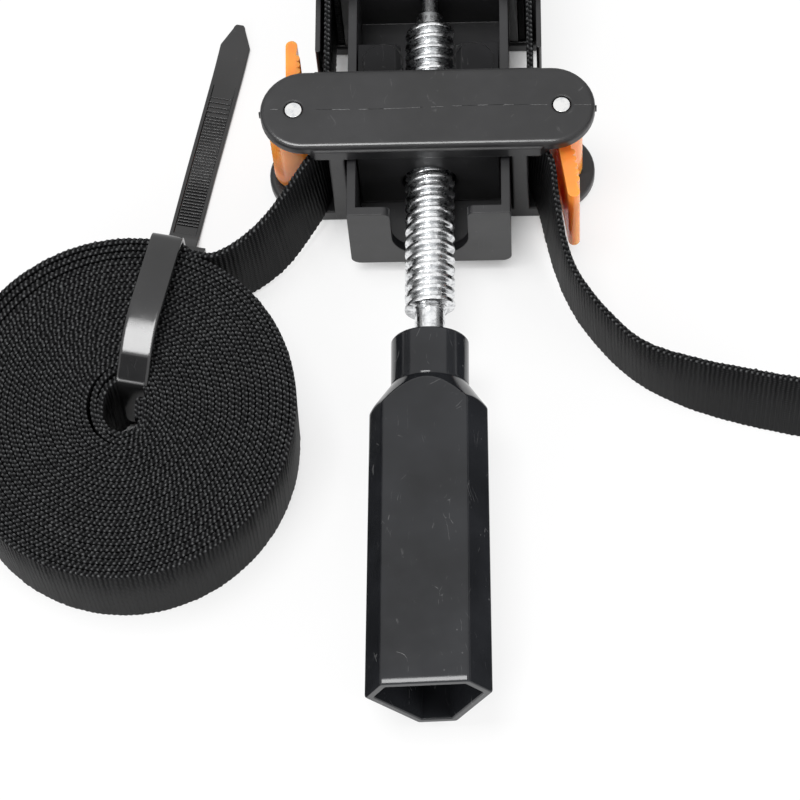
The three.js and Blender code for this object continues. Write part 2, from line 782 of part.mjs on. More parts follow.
// The least gap between neighbouring turns, from each point to the turn inside it
function leastCoilGap(stations) {
  let least = Infinity;
  const nearest = new THREE.Vector3();
  for (let index = 0; index < stations.length; index += 1) {
    const point = stations[index].at.clone().setZ(0);
    for (let step = coilStepsPerLoop - 3; step <= coilStepsPerLoop + 2; step += 1) {
      if (index + step + 1 < stations.length) {
        const line = new THREE.Line3(
          stations[index + step].at.clone().setZ(0),
          stations[index + step + 1].at.clone().setZ(0),
        );
        line.closestPointToPoint(point, true, nearest);
        least = Math.min(least, nearest.distanceTo(point) - bandThickness);
      }
    }
  }
  return least;
}

const coil = coilStations();
addPart('band_coil', strip(coil, bandThickness), 'webbing');
console.log(`least gap between the roll's turns: ${leastCoilGap(coil).toFixed(3)} mm`);

// Tails: each point of a route has its place, its lower edge's height and the lean in degrees of
// its upper edge to the left of the way from the clamp
const leftTailRoute = [
  [-25.0, -6.2, 4.4, -2.5],
  [-27.0, -12.0, 4.2, -6.0],
  [-31.0, -18.5, 3.3, -6.5],
  [-35.5, -24.4, 2.2, -6.0],
  [-40.5, -28.6, 1.3, -4.0],
  [-46.0, -31.8, 0.6, -2.0],
  [-51.2, -33.3, 0.2, 0],
];
const rightTailRoute = [
  [24.9, -6.2, 4.4, 2.0],
  [27.2, -12.0, 4.2, 5.0],
  [29.2, -19.0, 3.2, 2.5],
  [31.2, -26.5, 2.0, 0],
  [33.5, -34.5, 1.1, -2.0],
  [36.6, -42.0, 0.5, -3.5],
  [42.9, -51.8, 0.2, -4.8],
  [51.0, -58.5, 0.1, -4.0],
  [62.6, -64.0, 0.1, 1.5],
  [74.0, -67.9, 0.1, 4.0],
  [85.7, -70.9, 0.1, 5.0],
  [97.0, -73.6, 0.1, 5.5],
];

function tail(points, stepsPerPoint) {
  const curve = new THREE.CatmullRomCurve3(points.map(([x, y, z]) => new THREE.Vector3(x, y, z)));
  const steps = (points.length - 1) * stepsPerPoint;
  const stations = [];
  for (let step = 0; step <= steps; step += 1) {
    const place = Math.min(Math.floor(step / stepsPerPoint), points.length - 2);
    const part = step / stepsPerPoint - place;
    const lean = THREE.MathUtils.degToRad(THREE.MathUtils.lerp(points[place][3], points[place + 1][3], part));
    const lift = THREE.MathUtils.lerp(points[place][4] ?? 0, points[place + 1][4] ?? 0, part);
    const along = curve.getTangent(step / steps);
    const left = new THREE.Vector3(-along.y, along.x, 0).normalize();
    const across = new THREE.Vector3(0, 0, Math.cos(lean)).addScaledVector(left, Math.sin(lean));
    stations.push(webbingStation(curve.getPoint(step / steps), lift, across));
  }
  return strip(stations, bandThickness);
}

// The left tail ends face to face with the roll's outer end
const coilStart = coilPoint(0, THREE.MathUtils.degToRad(coilStartDegrees));
const coilStartAngle = THREE.MathUtils.degToRad(coilStartDegrees + 90);
const coilEntry = [seatGap + 2 * bandThickness, seatGap].map((distance) => [
  coilStart.x - distance * Math.cos(coilStartAngle),
  coilStart.y - distance * Math.sin(coilStartAngle),
  0,
  0,
  tieLift,
]);
const tailStartY = runFront - seatGap;
const leftStart = [-bandMiddle, tailStartY, bandLow, 0];
const rightStart = [bandMiddle, tailStartY, bandLow, 0];
addPart('band_left_tail', tail([leftStart, ...leftTailRoute, ...coilEntry], 3), 'webbing');
addPart('band_right_tail', tail([rightStart, ...rightTailRoute], 3), 'webbing');

// Cable tie: points of its route are distances from the roll's middle along the tie, and heights,
// which are from the roll's upper edge where a third number is 1
const tieRoute = [
  [52.6, 0.65],
  [44.0, 0.65],
  [30.0, 0.65],
  [16.0, 0.65],
  [5.2, 0.65],
  [3.0, 0.8],
  [2.2, 1.8],
  [2.0, 3.6],
  [1.9, 12.5],
  [2.0, -1.6, 1],
  [2.5, 0.3, 1],
  [4.2, 1.5, 1],
  [12.0, 2.3, 1],
  [22.0, 3.2, 1],
  [32.0, 2.8, 1],
  [41.4, 1.6, 1],
  [43.9, 0.6, 1],
  [44.5, -2.0, 1],
  [44.4, 12.0],
  [44.4, 6.0],
  [44.9, 3.8],
  [46.4, 3.0],
  [53.0, 3.0],
  [57.0, 2.2],
  [63.0, 0.8],
  [78.0, 0.65],
  [95.0, 0.65],
  [112.9, 0.65],
  [118.9, 0.65],
];

function tieStrip() {
  const direction = THREE.MathUtils.degToRad(tieDegrees);
  const across = new THREE.Vector3(-Math.sin(direction), Math.cos(direction), 0);
  const stations = tieRoute.map(([distance, height, fromEdge = 0], index) => ({
    at: new THREE.Vector3(
      coilX + distance * Math.cos(direction),
      coilY + distance * Math.sin(direction),
      height + fromEdge * bandWidth,
    ),
    across,
    width: index === tieRoute.length - 1 ? tieTipWidth : tieWidth,
  }));
  return strip(stations, tieThickness);
}

addPart('cable_tie_strip', tieStrip(), 'tiePlastic');

// Cable tie head: it stands on the strip's root, and the tail runs out through its slot
function tieHead() {
  const half = tieHeadWidth / 2;
  const slotHalfWidth = tieWidth / 2 + seatGap;
  const slotHalfHeight = tieThickness / 2 + seatGap;
  const end = tieHeadStart + tieHeadLength;
  const body = box(tieHeadStart, end, -half, half, tieHeadFloor, tieHeadFloor + tieHeadHeight);
  const slot = box(tieHeadStart - cutOverrun, end + cutOverrun, -slotHalfWidth, slotHalfWidth,
    tieSlotHeight - slotHalfHeight, tieSlotHeight + slotHalfHeight);
  const head = geometryOf(withCuts(solidOf(body), [slot]));
  return head.rotateZ(THREE.MathUtils.degToRad(tieDegrees)).translate(coilX, coilY, 0);
}

addPart('cable_tie_head', tieHead(), 'tiePlastic');

export default clamp;
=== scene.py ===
import math
import random

import bmesh
import bpy
from mathutils import Matrix, Vector


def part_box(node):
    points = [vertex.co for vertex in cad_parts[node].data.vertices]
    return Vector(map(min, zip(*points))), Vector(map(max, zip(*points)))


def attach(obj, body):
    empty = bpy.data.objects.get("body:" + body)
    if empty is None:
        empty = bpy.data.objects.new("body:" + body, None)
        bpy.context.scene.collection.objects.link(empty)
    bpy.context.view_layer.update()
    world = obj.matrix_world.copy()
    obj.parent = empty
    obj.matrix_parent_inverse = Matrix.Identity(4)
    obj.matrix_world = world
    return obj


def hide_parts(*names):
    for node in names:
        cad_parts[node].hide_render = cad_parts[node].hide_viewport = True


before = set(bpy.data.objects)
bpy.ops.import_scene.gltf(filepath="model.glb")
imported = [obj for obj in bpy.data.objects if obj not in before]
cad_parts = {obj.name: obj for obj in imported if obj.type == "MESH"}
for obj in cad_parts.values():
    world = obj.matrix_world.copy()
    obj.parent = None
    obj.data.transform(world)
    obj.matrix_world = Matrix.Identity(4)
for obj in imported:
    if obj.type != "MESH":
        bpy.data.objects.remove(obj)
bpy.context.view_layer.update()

# The camera stands in front of the handle and looks steeply down along the spindle to the nose.
# Its place, turn and lens were found from the pins, the plate, the spindle and the handle's corners.
MM = 0.001
camera_place = Vector((28.93, -432.67, 783.13)) * MM
yaw, pitch, roll = (math.radians(angle) for angle in (-5.647, -64.473, -6.066))
ahead = Vector((math.sin(yaw) * math.cos(pitch), math.cos(yaw) * math.cos(pitch), math.sin(pitch)))
level = Vector((math.cos(yaw), -math.sin(yaw), 0))
steep = level.cross(ahead)
rightward = math.cos(roll) * level + math.sin(roll) * steep
upward = math.cos(roll) * steep - math.sin(roll) * level
lens = bpy.data.cameras.new("photograph camera")
lens.sensor_width = 36
lens.lens = 162.84
lens.clip_start = 0.01


def in_scene(name, data):
    """An object of the scene, made from its mesh, lens or lamp."""
    thing = bpy.data.objects.new(name, data)
    bpy.context.scene.collection.objects.link(thing)
    return thing


camera = in_scene("photograph camera", lens)
camera.matrix_world = Matrix((
    (rightward.x, upward.x, -ahead.x, camera_place.x),
    (rightward.y, upward.y, -ahead.y, camera_place.y),
    (rightward.z, upward.z, -ahead.z, camera_place.z),
    (0, 0, 0, 1),
))
bpy.context.scene.camera = camera


# Webbing band: black polyester, 25 mm wide and 1.5 mm thick, woven with fine ribs across its faces
# and a row of weft loops along each edge. One band runs from the roll through the left cam, round
# the nose and back through the right cam, and it is made here in the stretches that the clamp grips.
def feed(tree, node, sockets):
    """Sets or links a node's inputs, each given by its place or its label. A node given as a value
    stands for its first output, and None leaves the input as it is."""
    for socket, value in sockets.items():
        if isinstance(value, bpy.types.Node):
            value = value.outputs[0]
        if isinstance(value, bpy.types.NodeSocket):
            tree.links.new(value, node.inputs[socket])
        elif value is not None:
            node.inputs[socket].default_value = value
    return node


def put(tree, kind, *inputs, **settings):
    """A node of the tree. A setting whose name has a capital is the label of an input."""
    node = tree.nodes.new(kind)
    sockets = dict(enumerate(inputs))
    for name, value in settings.items():
        if name[0].isupper():
            sockets[name.replace("_", " ")] = value
        else:
            setattr(node, name, value)
    return feed(tree, node, sockets)


def reckon(tree, operation, *values):
    """The result of one sum on numbers."""
    return put(tree, "ShaderNodeMath", *values, operation=operation)


def times(tree, first, *others):
    """The product of numbers."""
    for other in others:
        first = reckon(tree, "MULTIPLY", first, other)
    return first


def reckon_vector(tree, operation, *values):
    """The result of one sum on directions or places."""
    return put(tree, "ShaderNodeVectorMath", *values, operation=operation)


def ranged(tree, value, start, end, low=0.0, high=1.0, **settings):
    """The value drawn from between its start and end to between low and high."""
    return put(tree, "ShaderNodeMapRange", value, start, end, low, high, **settings)


def noise(tree, place, scale, detail=2.0, roughness=0.5, output=0):
    """Cloudy noise at a place: one level, or with output 1 three of them."""
    return put(tree, "ShaderNodeTexNoise", place, None, scale, detail, roughness).outputs[output]


def blended(tree, share, near, far):
    """A colour between two, by share."""
    mix = put(tree, "ShaderNodeMix", data_type="RGBA")
    return feed(tree, mix, {0: share, 6: near, 7: far}).outputs[2]


def start_tree(name, inputs, outputs, kind="ShaderNodeTree"):
    """A node group with named sockets, the values that come into it and its output node."""
    tree = bpy.data.node_groups.new(name, kind)
    for direction, sockets in (("INPUT", inputs), ("OUTPUT", outputs)):
        for label, form in sockets.items():
            tree.interface.new_socket(label, in_out=direction, socket_type="NodeSocket" + form)
    given = tree.nodes.new("NodeGroupInput").outputs[:len(inputs)]
    return tree, given, tree.nodes.new("NodeGroupOutput")


def start_material(name):
    """A material with a Principled shader, and that shader."""
    material = bpy.data.materials.new(name)
    material.use_nodes = True
    return material, material.node_tree, material.node_tree.nodes["Principled BSDF"]


def worked(source, tree, name, **sizes):
    """A plain mesh from a source object and a node tree whose named inputs are set first."""
    modifier = source.modifiers.new(tree.name, "NODES")
    modifier.node_group = tree
    for item in tree.interface.items_tree:
        label = item.name.lower().replace(" ", "_")
        if item.in_out == "INPUT" and label in sizes:
            modifier[item.identifier] = sizes[label]
    bpy.context.view_layer.update()
    evaluated = source.evaluated_get(bpy.context.evaluated_depsgraph_get())
    mesh = bpy.data.meshes.new_from_object(evaluated)
    source.modifiers.remove(modifier)
    bpy.data.objects.remove(source)
    mesh.name = name
    return in_scene(name, mesh)


def fitted(piece, slot, body, *nodes):
    """Hides the nodes that the piece stands for and hangs the piece on the body that it rides on. The slot
    is not used.
    """
    if nodes:
        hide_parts(*nodes)
    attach(piece, body)


def weave_group():
    """Height of the weave, and its tint with painted highlights on the rib crests and loop tops and painted
    shade between the ribs, from the webbing's own map, which runs in metres.
    """
    tree, given, result = start_tree(
        "weave of the band",
        {"Along": "Float", "Around": "Float", "Selvedge": "Float", "Loop": "Float", "Dark": "Color",
         "Pale": "Color"},
        {"Height": "Float", "Tint": "Color"},
    )
    along, around, selvedge, loop, dark, pale = given
    place = put(tree, "ShaderNodeCombineXYZ", along, around, 0.0)
    patches = noise(tree, place, 90.0)
    wander = noise(tree, place, 420.0)
    fuzz = noise(tree, place, 4200.0, 3.0, 0.6)
    bend = reckon(tree, "PINGPONG", around, 2.6 * MM)
    slanted = reckon(tree, "MULTIPLY_ADD", bend, 0.05, along)
    slanted = reckon(tree, "MULTIPLY_ADD", wander, 0.2 * MM, slanted)
    rib = reckon(tree, "SINE", times(tree, slanted, 2 * math.pi / rib_spacing))
    strand = reckon(tree, "SINE", times(tree, around, 2 * math.pi / strand_spacing))
    crest = ranged(tree, rib, -0.55, 0.9)
    stitch = ranged(tree, strand, -0.8, 0.8, 0.45, 1.0)
    edge = ranged(tree, selvedge, 0.42, 0.62)
    plain = reckon(tree, "SUBTRACT", 1.0, edge)
    flat = times(tree, crest, stitch, plain)
    height = reckon(tree, "MULTIPLY_ADD", fuzz, 0.28, flat)
    # Painted light: the tint is lighter on the rib crests and on the tops of the edge loops as painted
    # highlights, and darker between the ribs as painted shade.
    loop_top_highlights = times(tree, reckon(tree, "POWER", loop, 3.0), edge)
    lit = reckon(tree, "MULTIPLY_ADD", flat, 0.13, loop_top_highlights)
    lit = reckon(tree, "MULTIPLY_ADD", fuzz, 0.2, reckon(tree, "SUBTRACT", lit, 0.08))
    shade = times(tree, lit, reckon(tree, "MULTIPLY_ADD", patches, 0.9, 0.55))
    feed(tree, result, {"Height": height, "Tint": blended(tree, shade, dark, pale)})
    return tree


rib_spacing = 1.12 * MM
strand_spacing = 0.85 * MM
weave = weave_group()
black_webbing, tree, shader = start_material("black webbing")
own_map = put(tree, "ShaderNodeUVMap", uv_map="UVMap")
parts = put(tree, "ShaderNodeSeparateXYZ", own_map)
selvedge, loops = (put(tree, "ShaderNodeAttribute", attribute_name=name).outputs["Fac"]
                   for name in ("selvedge", "loop"))
woven = put(tree, "ShaderNodeGroup", parts.outputs[0], parts.outputs[1], selvedge, loops,
            Dark=(0.0024, 0.0024, 0.0028, 1), Pale=(0.102, 0.104, 0.106, 1), node_tree=weave)
raised = put(tree, "ShaderNodeBump", 1.0, 0.3 * MM, Height=woven.outputs[0])
feed(tree, shader, {"Base Color": woven.outputs[1], "Normal": raised, "Roughness": 0.5,
                    "Specular IOR Level": 0.04, "Sheen Weight": 0.006, "Sheen Roughness": 0.4})


def named_number(tree, name):
    """A number that each point carries under this name."""
    return put(tree, "GeometryNodeInputNamedAttribute", name, data_type="FLOAT")


def named(tree, geometry, name, value, data_type="FLOAT", domain="POINT"):
    """The geometry with a value stored under this name."""
    return put(tree, "GeometryNodeStoreNamedAttribute", geometry, None, name, value,
               data_type=data_type, domain=domain)


def scaled(tree, direction, share):
    """A direction times a number."""
    return reckon_vector(tree, "SCALE", direction, None, None, share)


def finished(tree, result, geometry, finish):
    """Ends a geometry tree: a real mesh in one finish."""
    real = put(tree, "GeometryNodeRealizeInstances", geometry)
    coloured = put(tree, "GeometryNodeSetMaterial", real, None, finish)
    feed(tree, result, {0: coloured})
    return tree


def webbing_tree():
    """Sweeps the band's section along its line, with the loops of its edges, and maps the weave."""
    tree, given, result = start_tree(
        "webbing along its line",
        {"Line": "Geometry", "Section": "Object", "Width": "Float", "Thickness": "Float", "Step": "Float",
         "Loop pitch": "Float", "Loop height": "Float", "Loop swell": "Float", "Finish": "Material"},
        {"Band": "Geometry"}, "GeometryNodeTree",
    )
    line, section, width, thickness, step, pitch, height, swell, finish = given
    curve = put(tree, "GeometryNodeMeshToCurve", line)
    fine = put(tree, "GeometryNodeResampleCurve", Curve=curve, Length=step, mode="LENGTH")
    across = put(tree, "GeometryNodeInputNamedAttribute", "across", data_type="FLOAT_VECTOR")
    turned_up = put(tree, "GeometryNodeSetCurveNormal", Curve=fine, Normal=across, mode="FREE")
    length = put(tree, "GeometryNodeSplineParameter").outputs["Length"]
    outline = put(tree, "GeometryNodeObjectInfo", section).outputs["Geometry"]
    ring = put(tree, "GeometryNodeMeshToCurve", outline)
    sizes = put(tree, "ShaderNodeCombineXYZ", times(tree, width, 0.5), times(tree, thickness, 0.5), 1.0)
    place = put(tree, "GeometryNodeInputPosition")
    sized = put(tree, "GeometryNodeSetPosition", ring, None, reckon_vector(tree, "MULTIPLY", place, sizes))
    swept = put(tree, "GeometryNodeCurveToMesh", Curve=named(tree, turned_up, "along", length),
                Profile_Curve=sized, Fill_Caps=True)
    along, lift, low, edge, beside, around = (
        named_number(tree, name) for name in ("along", "lift", "low", "edge", "beside", "around"))
    turn = reckon(tree, "MULTIPLY_ADD", reckon(tree, "DIVIDE", along, pitch), 2 * math.pi, beside)
    uneven = put(tree, "ShaderNodeTexNoise", None, along, 700.0, 2.0, 0.5, noise_dimensions="1D")
    loop = reckon(tree, "ADD", reckon(tree, "SINE", turn), reckon(tree, "MULTIPLY_ADD", uneven, 1.2, -0.6))
    rise = times(tree, loop, height, edge)
    push_up = scaled(tree, across, reckon(tree, "ADD", rise, times(tree, lift, low)))
    edge_share = reckon(tree, "ABSOLUTE", edge)
    swollen = times(tree, loop, swell, edge_share)
    push_out = scaled(tree, put(tree, "GeometryNodeInputNormal"), swollen)
    scatter = reckon_vector(tree, "SUBTRACT", noise(tree, place, 650.0, output=1), (0.5, 0.5, 0.5))
    sideways = reckon_vector(tree, "MULTIPLY", scatter, (0.9 * MM, 0.9 * MM, 0.0))
    push_out = reckon_vector(tree, "ADD", push_out, scaled(tree, sideways, edge_share))
    shaped = put(tree, "GeometryNodeSetPosition", swept, None, None,
                 reckon_vector(tree, "ADD", push_up, push_out))
    edges = named(tree, shaped, "selvedge", edge_share)
    edges = named(tree, edges, "loop", ranged(tree, loop, -1.0, 1.0))
    map_place = put(tree, "ShaderNodeCombineXYZ", along, times(tree, around, width), 0.0)
    mapped = named(tree, edges, "UVMap", map_place, "FLOAT2", "CORNER")
    smooth = put(tree, "GeometryNodeSetShadeSmooth", mapped)
    return finished(tree, result, smooth, finish)


def marked_line(name, points, closed, **marks):
    """A line of points with a mark for each point: a number or a direction."""
    mesh = bpy.data.meshes.new(name)
    last = len(points)
    edges = [(place, (place + 1) % last) for place in range(last if closed else last - 1)]
    mesh.from_pydata(points, edges, [])
    for label, values in marks.items():
        vector = isinstance(values[0], Vector)
        mark = mesh.attributes.new(label, "FLOAT_VECTOR" if vector else "FLOAT", "POINT")
        for point, value in zip(mark.data, values):
            setattr(point, "vector" if vector else "value", value)
    return in_scene(name, mesh)


band_width = 25.0 * MM
band_thickness = 1.46 * MM
band_step = 0.262 * MM
# Corners of the band's section: place across the width and the thickness, share of the edge's
# loops and their shift along the band. The upper edge has two rows of loops side by side.
edge_points = [
    (0.962, -1.0, 0.35, 0.0), (1.0, -0.52, 1.0, 0.0), (0.965, 0.0, 0.45, 1.57), (1.0, 0.52, 1.0, 3.14),
    (0.962, 1.0, 0.35, 3.14), (-0.99, 1.0, -0.4, 0.0), (-0.99, -1.0, -0.4, 3.14),
]
across, through, share, shift = zip(*edge_points)
section_line = marked_line(
    "band section", [(x, y, 0) for x, y in zip(across, through)], True, edge=share, beside=shift,
    low=[float(x < 0) for x in across], around=[x * 0.5 for x in across],
)
band_tree = webbing_tree()


def webbing(name, stations, body, node):
    """A stretch of the band through its stations: each has its middle, its way up and its lift."""
    line = marked_line(
        name + " line", [at for at, up, lift in stations], False,
        across=[up for at, up, lift in stations], lift=[lift for at, up, lift in stations],
    )
    piece = worked(
        line, band_tree, name, section=section_line, width=band_width, thickness=band_thickness,
        step=band_step, loop_pitch=1.31 * MM, loop_height=0.26 * MM, loop_swell=0.1 * MM,
        finish=black_webbing,
    )
    fitted(piece, "webbing", body, node)


up = Vector((0, 0, 1))
run_middle = 24.55 * MM
run_height = 16.9 * MM
for name, side in (("band_left_run", -1), ("band_right_run", 1)):
    stations = [(Vector((side * run_middle, y * MM, run_height)), up, 0.0) for y in (-3.0, 48.5)]
    webbing(name.replace("run", "stretch_in_the_clamp"), stations, "carriage", name)


# The loop round the nose: it stands on the nose's core between its two flanges, and its ends pass
# through the guide slots, where the stretches from the cams lie beside them.
def round_the_nose():
    """The band's middle line round the nose, from the left guide slot to the right one."""
    half, front, corner, back = 22.61, 65.11, 4.9, 36.5
    points = [(-half, back)]
    for middle, start in ((corner - half, 180), (half - corner, 90)):
        for step in range(9):
            angle = math.radians(start - 90 * step / 8)
            points.append((middle + corner * math.cos(angle), front - corner + corner * math.sin(angle)))
    points.append((half, back))
    return [(Vector((x * MM, y * MM, run_height)), up, 0.0) for x, y in points]


webbing("band_loop_round_the_nose", round_the_nose(), "frame", "band_nose_loop")

# The roll: about 3.4 m of the band wound on edge round an oval hollow. Its first turns lie a little
# loose at the upper left, and its inner end stands free in the hollow with a folded hem.
coil_middle = Vector((-71.6, -72.5))
coil_start, coil_loops = 71, 22
hollow_reach, roll_reach = (6.4, 8.4), (40.9, 43.2)
loose_degrees, loose_turns, looseness = 125, 3.0, 0.34
gap_turns, gap_width = 20.9, 0.75
tie_degrees = 78.5
tie_lift, lift_end, lift_way = 1.7, 10.1, 3.5


def toward(angle):
    """The level direction at an angle."""
    return Vector((math.cos(angle), math.sin(angle)))


def coil_point(share, angle):
    """The band's middle in the roll, in mm, after a share of the turns."""
    core, outside = (1 / math.hypot(math.cos(angle) / across, math.sin(angle) / along)
                     for across, along in (hollow_reach, roll_reach))
    radius = outside * (1 - share) + core * share
    turns = share * coil_loops
    loose = looseness * max(0.0, math.cos(angle - math.radians(loose_degrees))) ** 2
    radius -= loose * min(turns, loose_turns) * min(1.0, (coil_loops - turns) / (coil_loops - loose_turns))
    radius -= gap_width * max(0.0, -math.cos(angle)) * min(1.0, max(0.0, turns - gap_turns) * 4)
    return coil_middle + toward(angle) * radius


def coil_lift(point, angle):
    """How far the tie below presses the band up, in mm."""
    radius = (point - coil_middle).length
    away = abs(math.remainder(angle - math.radians(tie_degrees), 2 * math.pi))
    if away > math.pi / 2:
        return 0.0
    return tie_lift * min(1.0, max(0.0, (lift_end - radius * math.sin(away)) / lift_way))


half_band = 12.5
coil_stations = []
for step in range(coil_loops * 96 + 1):
    share = step / (coil_loops * 96)
    angle = math.radians(coil_start) + 2 * math.pi * share * coil_loops
    point = coil_point(share, angle)
    lean = math.radians(2.0) * (1 - share) ** 2
    way_up = up * math.cos(lean) + toward(angle).to_3d() * math.sin(lean)
    coil_stations.append((Vector((*point, half_band)) * MM, way_up, coil_lift(point, angle) * MM))
inner_end = [toward(math.radians(degrees)) * radius for degrees, radius in (
    (85, 7.85), (100, 7.45), (130, 6.2), (160, 5.4), (180, 5.2), (210, 5.8), (240, 6.9), (270, 7.6),
    (300, 7.2), (325, 6.1), (343, 5.4))]
inner_end += [Vector(point) for point in (
    (5.2, 0.2), (5.2, 0.9), (4.95, 1.5), (4.47, 1.75), (3.98, 1.5), (3.74, 0.9), (3.72, -0.8), (3.75, -3.2))]
for point in inner_end:
    coil_stations.append((Vector((*(coil_middle + point), half_band)) * MM, up, 0.0))
webbing("band_roll", coil_stations, "carriage", "band_coil")

# Two tails: one leads from the left cam into the roll, the other lies loose to the right. Each point
# has its place, its lower edge's height and how far its upper edge leans to the left, in degrees.
left_tail_route = [
    (-24.55, -3.3, 4.4, 0), (-25.0, -6.2, 4.4, -2.5), (-27.0, -12.0, 4.2, -6.0), (-31.0, -18.5, 3.3, -6.5),
    (-35.5, -24.4, 2.2, -6.0), (-40.5, -28.6, 1.3, -4.0), (-46.0, -31.8, 0.6, -2.0), (-51.2, -33.3, 0.2, 0),
]
right_tail_route = [
    (24.55, -3.3, 4.4, 0), (24.8, -6.2, 4.4, 2.4), (26.6, -12.0, 4.2, 6.4), (28.2, -19.2, 3.2, 4.8),
    (30.1, -26.8, 2.0, 2.6), (32.9, -34.7, 1.1, -0.4), (36.8, -42.0, 0.5, -2.0), (43.6, -51.0, 0.2, -2.4),
    (51.4, -58.0, 0.1, -2.6), (62.6, -64.0, 0.1, 1.5), (74.0, -67.9, 0.1, 4.0), (85.7, -70.9, 0.1, 5.0),
    (97.0, -73.6, 0.1, 5.5),
]
coil_entry = coil_point(0, math.radians(coil_start))
for distance in (2.5, 0.05):
    entry = coil_entry - toward(math.radians(coil_start + 90)) * distance
    left_tail_route.append((entry.x, entry.y, 0, 0, tie_lift))


def tail_stations(route):
    """Stations along a smooth curve through a route's points."""
    rows = [list(row) + [0] * (5 - len(row)) for row in route]
    before, after = ([2 * a - b for a, b in zip(*pair)] for pair in (rows[:2], rows[:-3:-1]))
    rows = [before] + rows + [after]
    mixed = []
    for place in range(1, len(rows) - 2):
        before, near, far, after = rows[place - 1:place + 3]
        for step in range(12):
            t = step / 12
            mixed.append([
                0.5 * (2 * b + (c - a) * t + (2 * a - 5 * b + 4 * c - d) * t * t
                       + (3 * b - a - 3 * c + d) * t ** 3)
                for a, b, c, d in zip(before, near, far, after)
            ])
    mixed.append(rows[-2])
    stations = []
    for place, (x, y, z, lean, lift) in enumerate(mixed):
        near, far = mixed[max(place - 1, 0)], mixed[min(place + 1, len(mixed) - 1)]
        left = Vector((near[1] - far[1], far[0] - near[0], 0)).normalized()
        lean = math.radians(lean)
        way_up = Vector((0, 0, math.cos(lean))) + left * math.sin(lean)
        middle = Vector((x, y, z)) * MM + way_up * band_width / 2
        stations.append((middle, way_up, lift * MM))
    return stations


webbing("band_left_loose_end", tail_stations(left_tail_route), "carriage", "band_left_tail")
webbing("band_right_loose_end", tail_stations(right_tail_route), "carriage", "band_right_tail")
bpy.data.objects.remove(section_line)


# Cable tie: smooth black nylon, drawn round one side of the roll and through its own head. Past
# the head its end shows the fine teeth that the head's pawl holds, between two raised borders.
def face_results(tree, result, colour, roughness, rounded, strength, depth, relief):
    """Ends a face's group: its colour, its roughness, and its fine relief over its rounded edges."""
    bump = put(tree, "ShaderNodeBump", strength, depth, Height=relief, Normal=rounded)
    feed(tree, result, {"Colour": colour, "Roughness": roughness, "Normal": bump})
    return tree


def moulded_group():
    """The face of a moulded piece: fine grain, long scratches, specks of dust and a worn sheen."""
    tree, given, result = start_tree(
        "face of a moulding",
        {"Tint": "Color", "Grain": "Float", "Scratches": "Float", "Roughness": "Float", "Edge": "Float"},
        {"Colour": "Color", "Roughness": "Float", "Normal": "Vector"},
    )
    tint, grain, scratches, roughness, edge = given
    place = put(tree, "ShaderNodeTexCoord").outputs["Object"]
    fine = noise(tree, place, 2600.0, 3.0, 0.6)
    broad = noise(tree, place, 45.0, 3.0, 0.55)
    cloudy = noise(tree, place, 260.0, 4.0, 0.6)
    warp = noise(tree, place, 30.0, output=1)
    drawn = reckon_vector(tree, "MULTIPLY_ADD", warp, (0.05, 0.05, 0.05), place)
    stretched = put(tree, "ShaderNodeMapping", drawn, None, (0.0, 0.0, 0.5), (260.0, 24.0, 90.0))
    lines = put(tree, "ShaderNodeTexVoronoi", stretched, None, 1.0, feature="DISTANCE_TO_EDGE")
    thin = ranged(tree, lines, 0.0, 0.012, 1.0, 0.0)
    where = ranged(tree, cloudy, 0.56, 0.64)
    scratch = times(tree, thin, where, scratches)
    specks = put(tree, "ShaderNodeTexVoronoi", place, None, 420.0)
    sparse = ranged(tree, broad, 0.56, 0.62)
    dust = times(tree, ranged(tree, specks, 0.05, 0.11, 1.0, 0.0), sparse, scratches)
    pale = reckon(tree, "ADD", times(tree, scratch, 0.5), times(tree, dust, 0.5))
    mottled = scaled(tree, tint, ranged(tree, broad, 0.3, 0.7, 0.6, 1.4))
    rough = reckon(tree, "MULTIPLY_ADD", cloudy, 0.14, reckon(tree, "SUBTRACT", roughness, 0.07))
    rough = reckon(tree, "MULTIPLY_ADD", scratch, 0.3, rough)
    relief = reckon(tree, "MULTIPLY_ADD", scratch, -0.6, times(tree, fine, grain))
    rounded = put(tree, "ShaderNodeBevel", edge, samples=6)
    marked = blended(tree, pale, mottled, (0.32, 0.32, 0.32, 1))
    return face_results(tree, result, marked, rough, rounded, 0.35, 0.08 * MM, relief)


moulded_face = moulded_group()


def finish_with(face_group, name, **sizes):
    """A finish whose colour, roughness and relief come from a face's group."""
    material, tree, shader = start_material(name)
    face = put(tree, "ShaderNodeGroup", node_tree=face_group, **sizes)
    feed(tree, shader, dict(zip(("Base Color", "Roughness", "Normal"), face.outputs)))
    return material, shader


def moulding(name, tint, roughness, grain, scratches, edge, **sheen):
    """A moulded plastic in one colour, with the face of a moulding."""
    material, shader = finish_with(moulded_face, name, Tint=tint, Roughness=roughness, Grain=grain,
                                   Scratches=scratches, Edge=edge)
    feed(material.node_tree, shader, {label.replace("_", " "): value for label, value in sheen.items()})
    return material


tie_nylon = moulding("black nylon", (0.014, 0.014, 0.0145, 1), 0.15, 0.06, 0.1, 0.08 * MM,
                     Specular_IOR_Level=0.62)
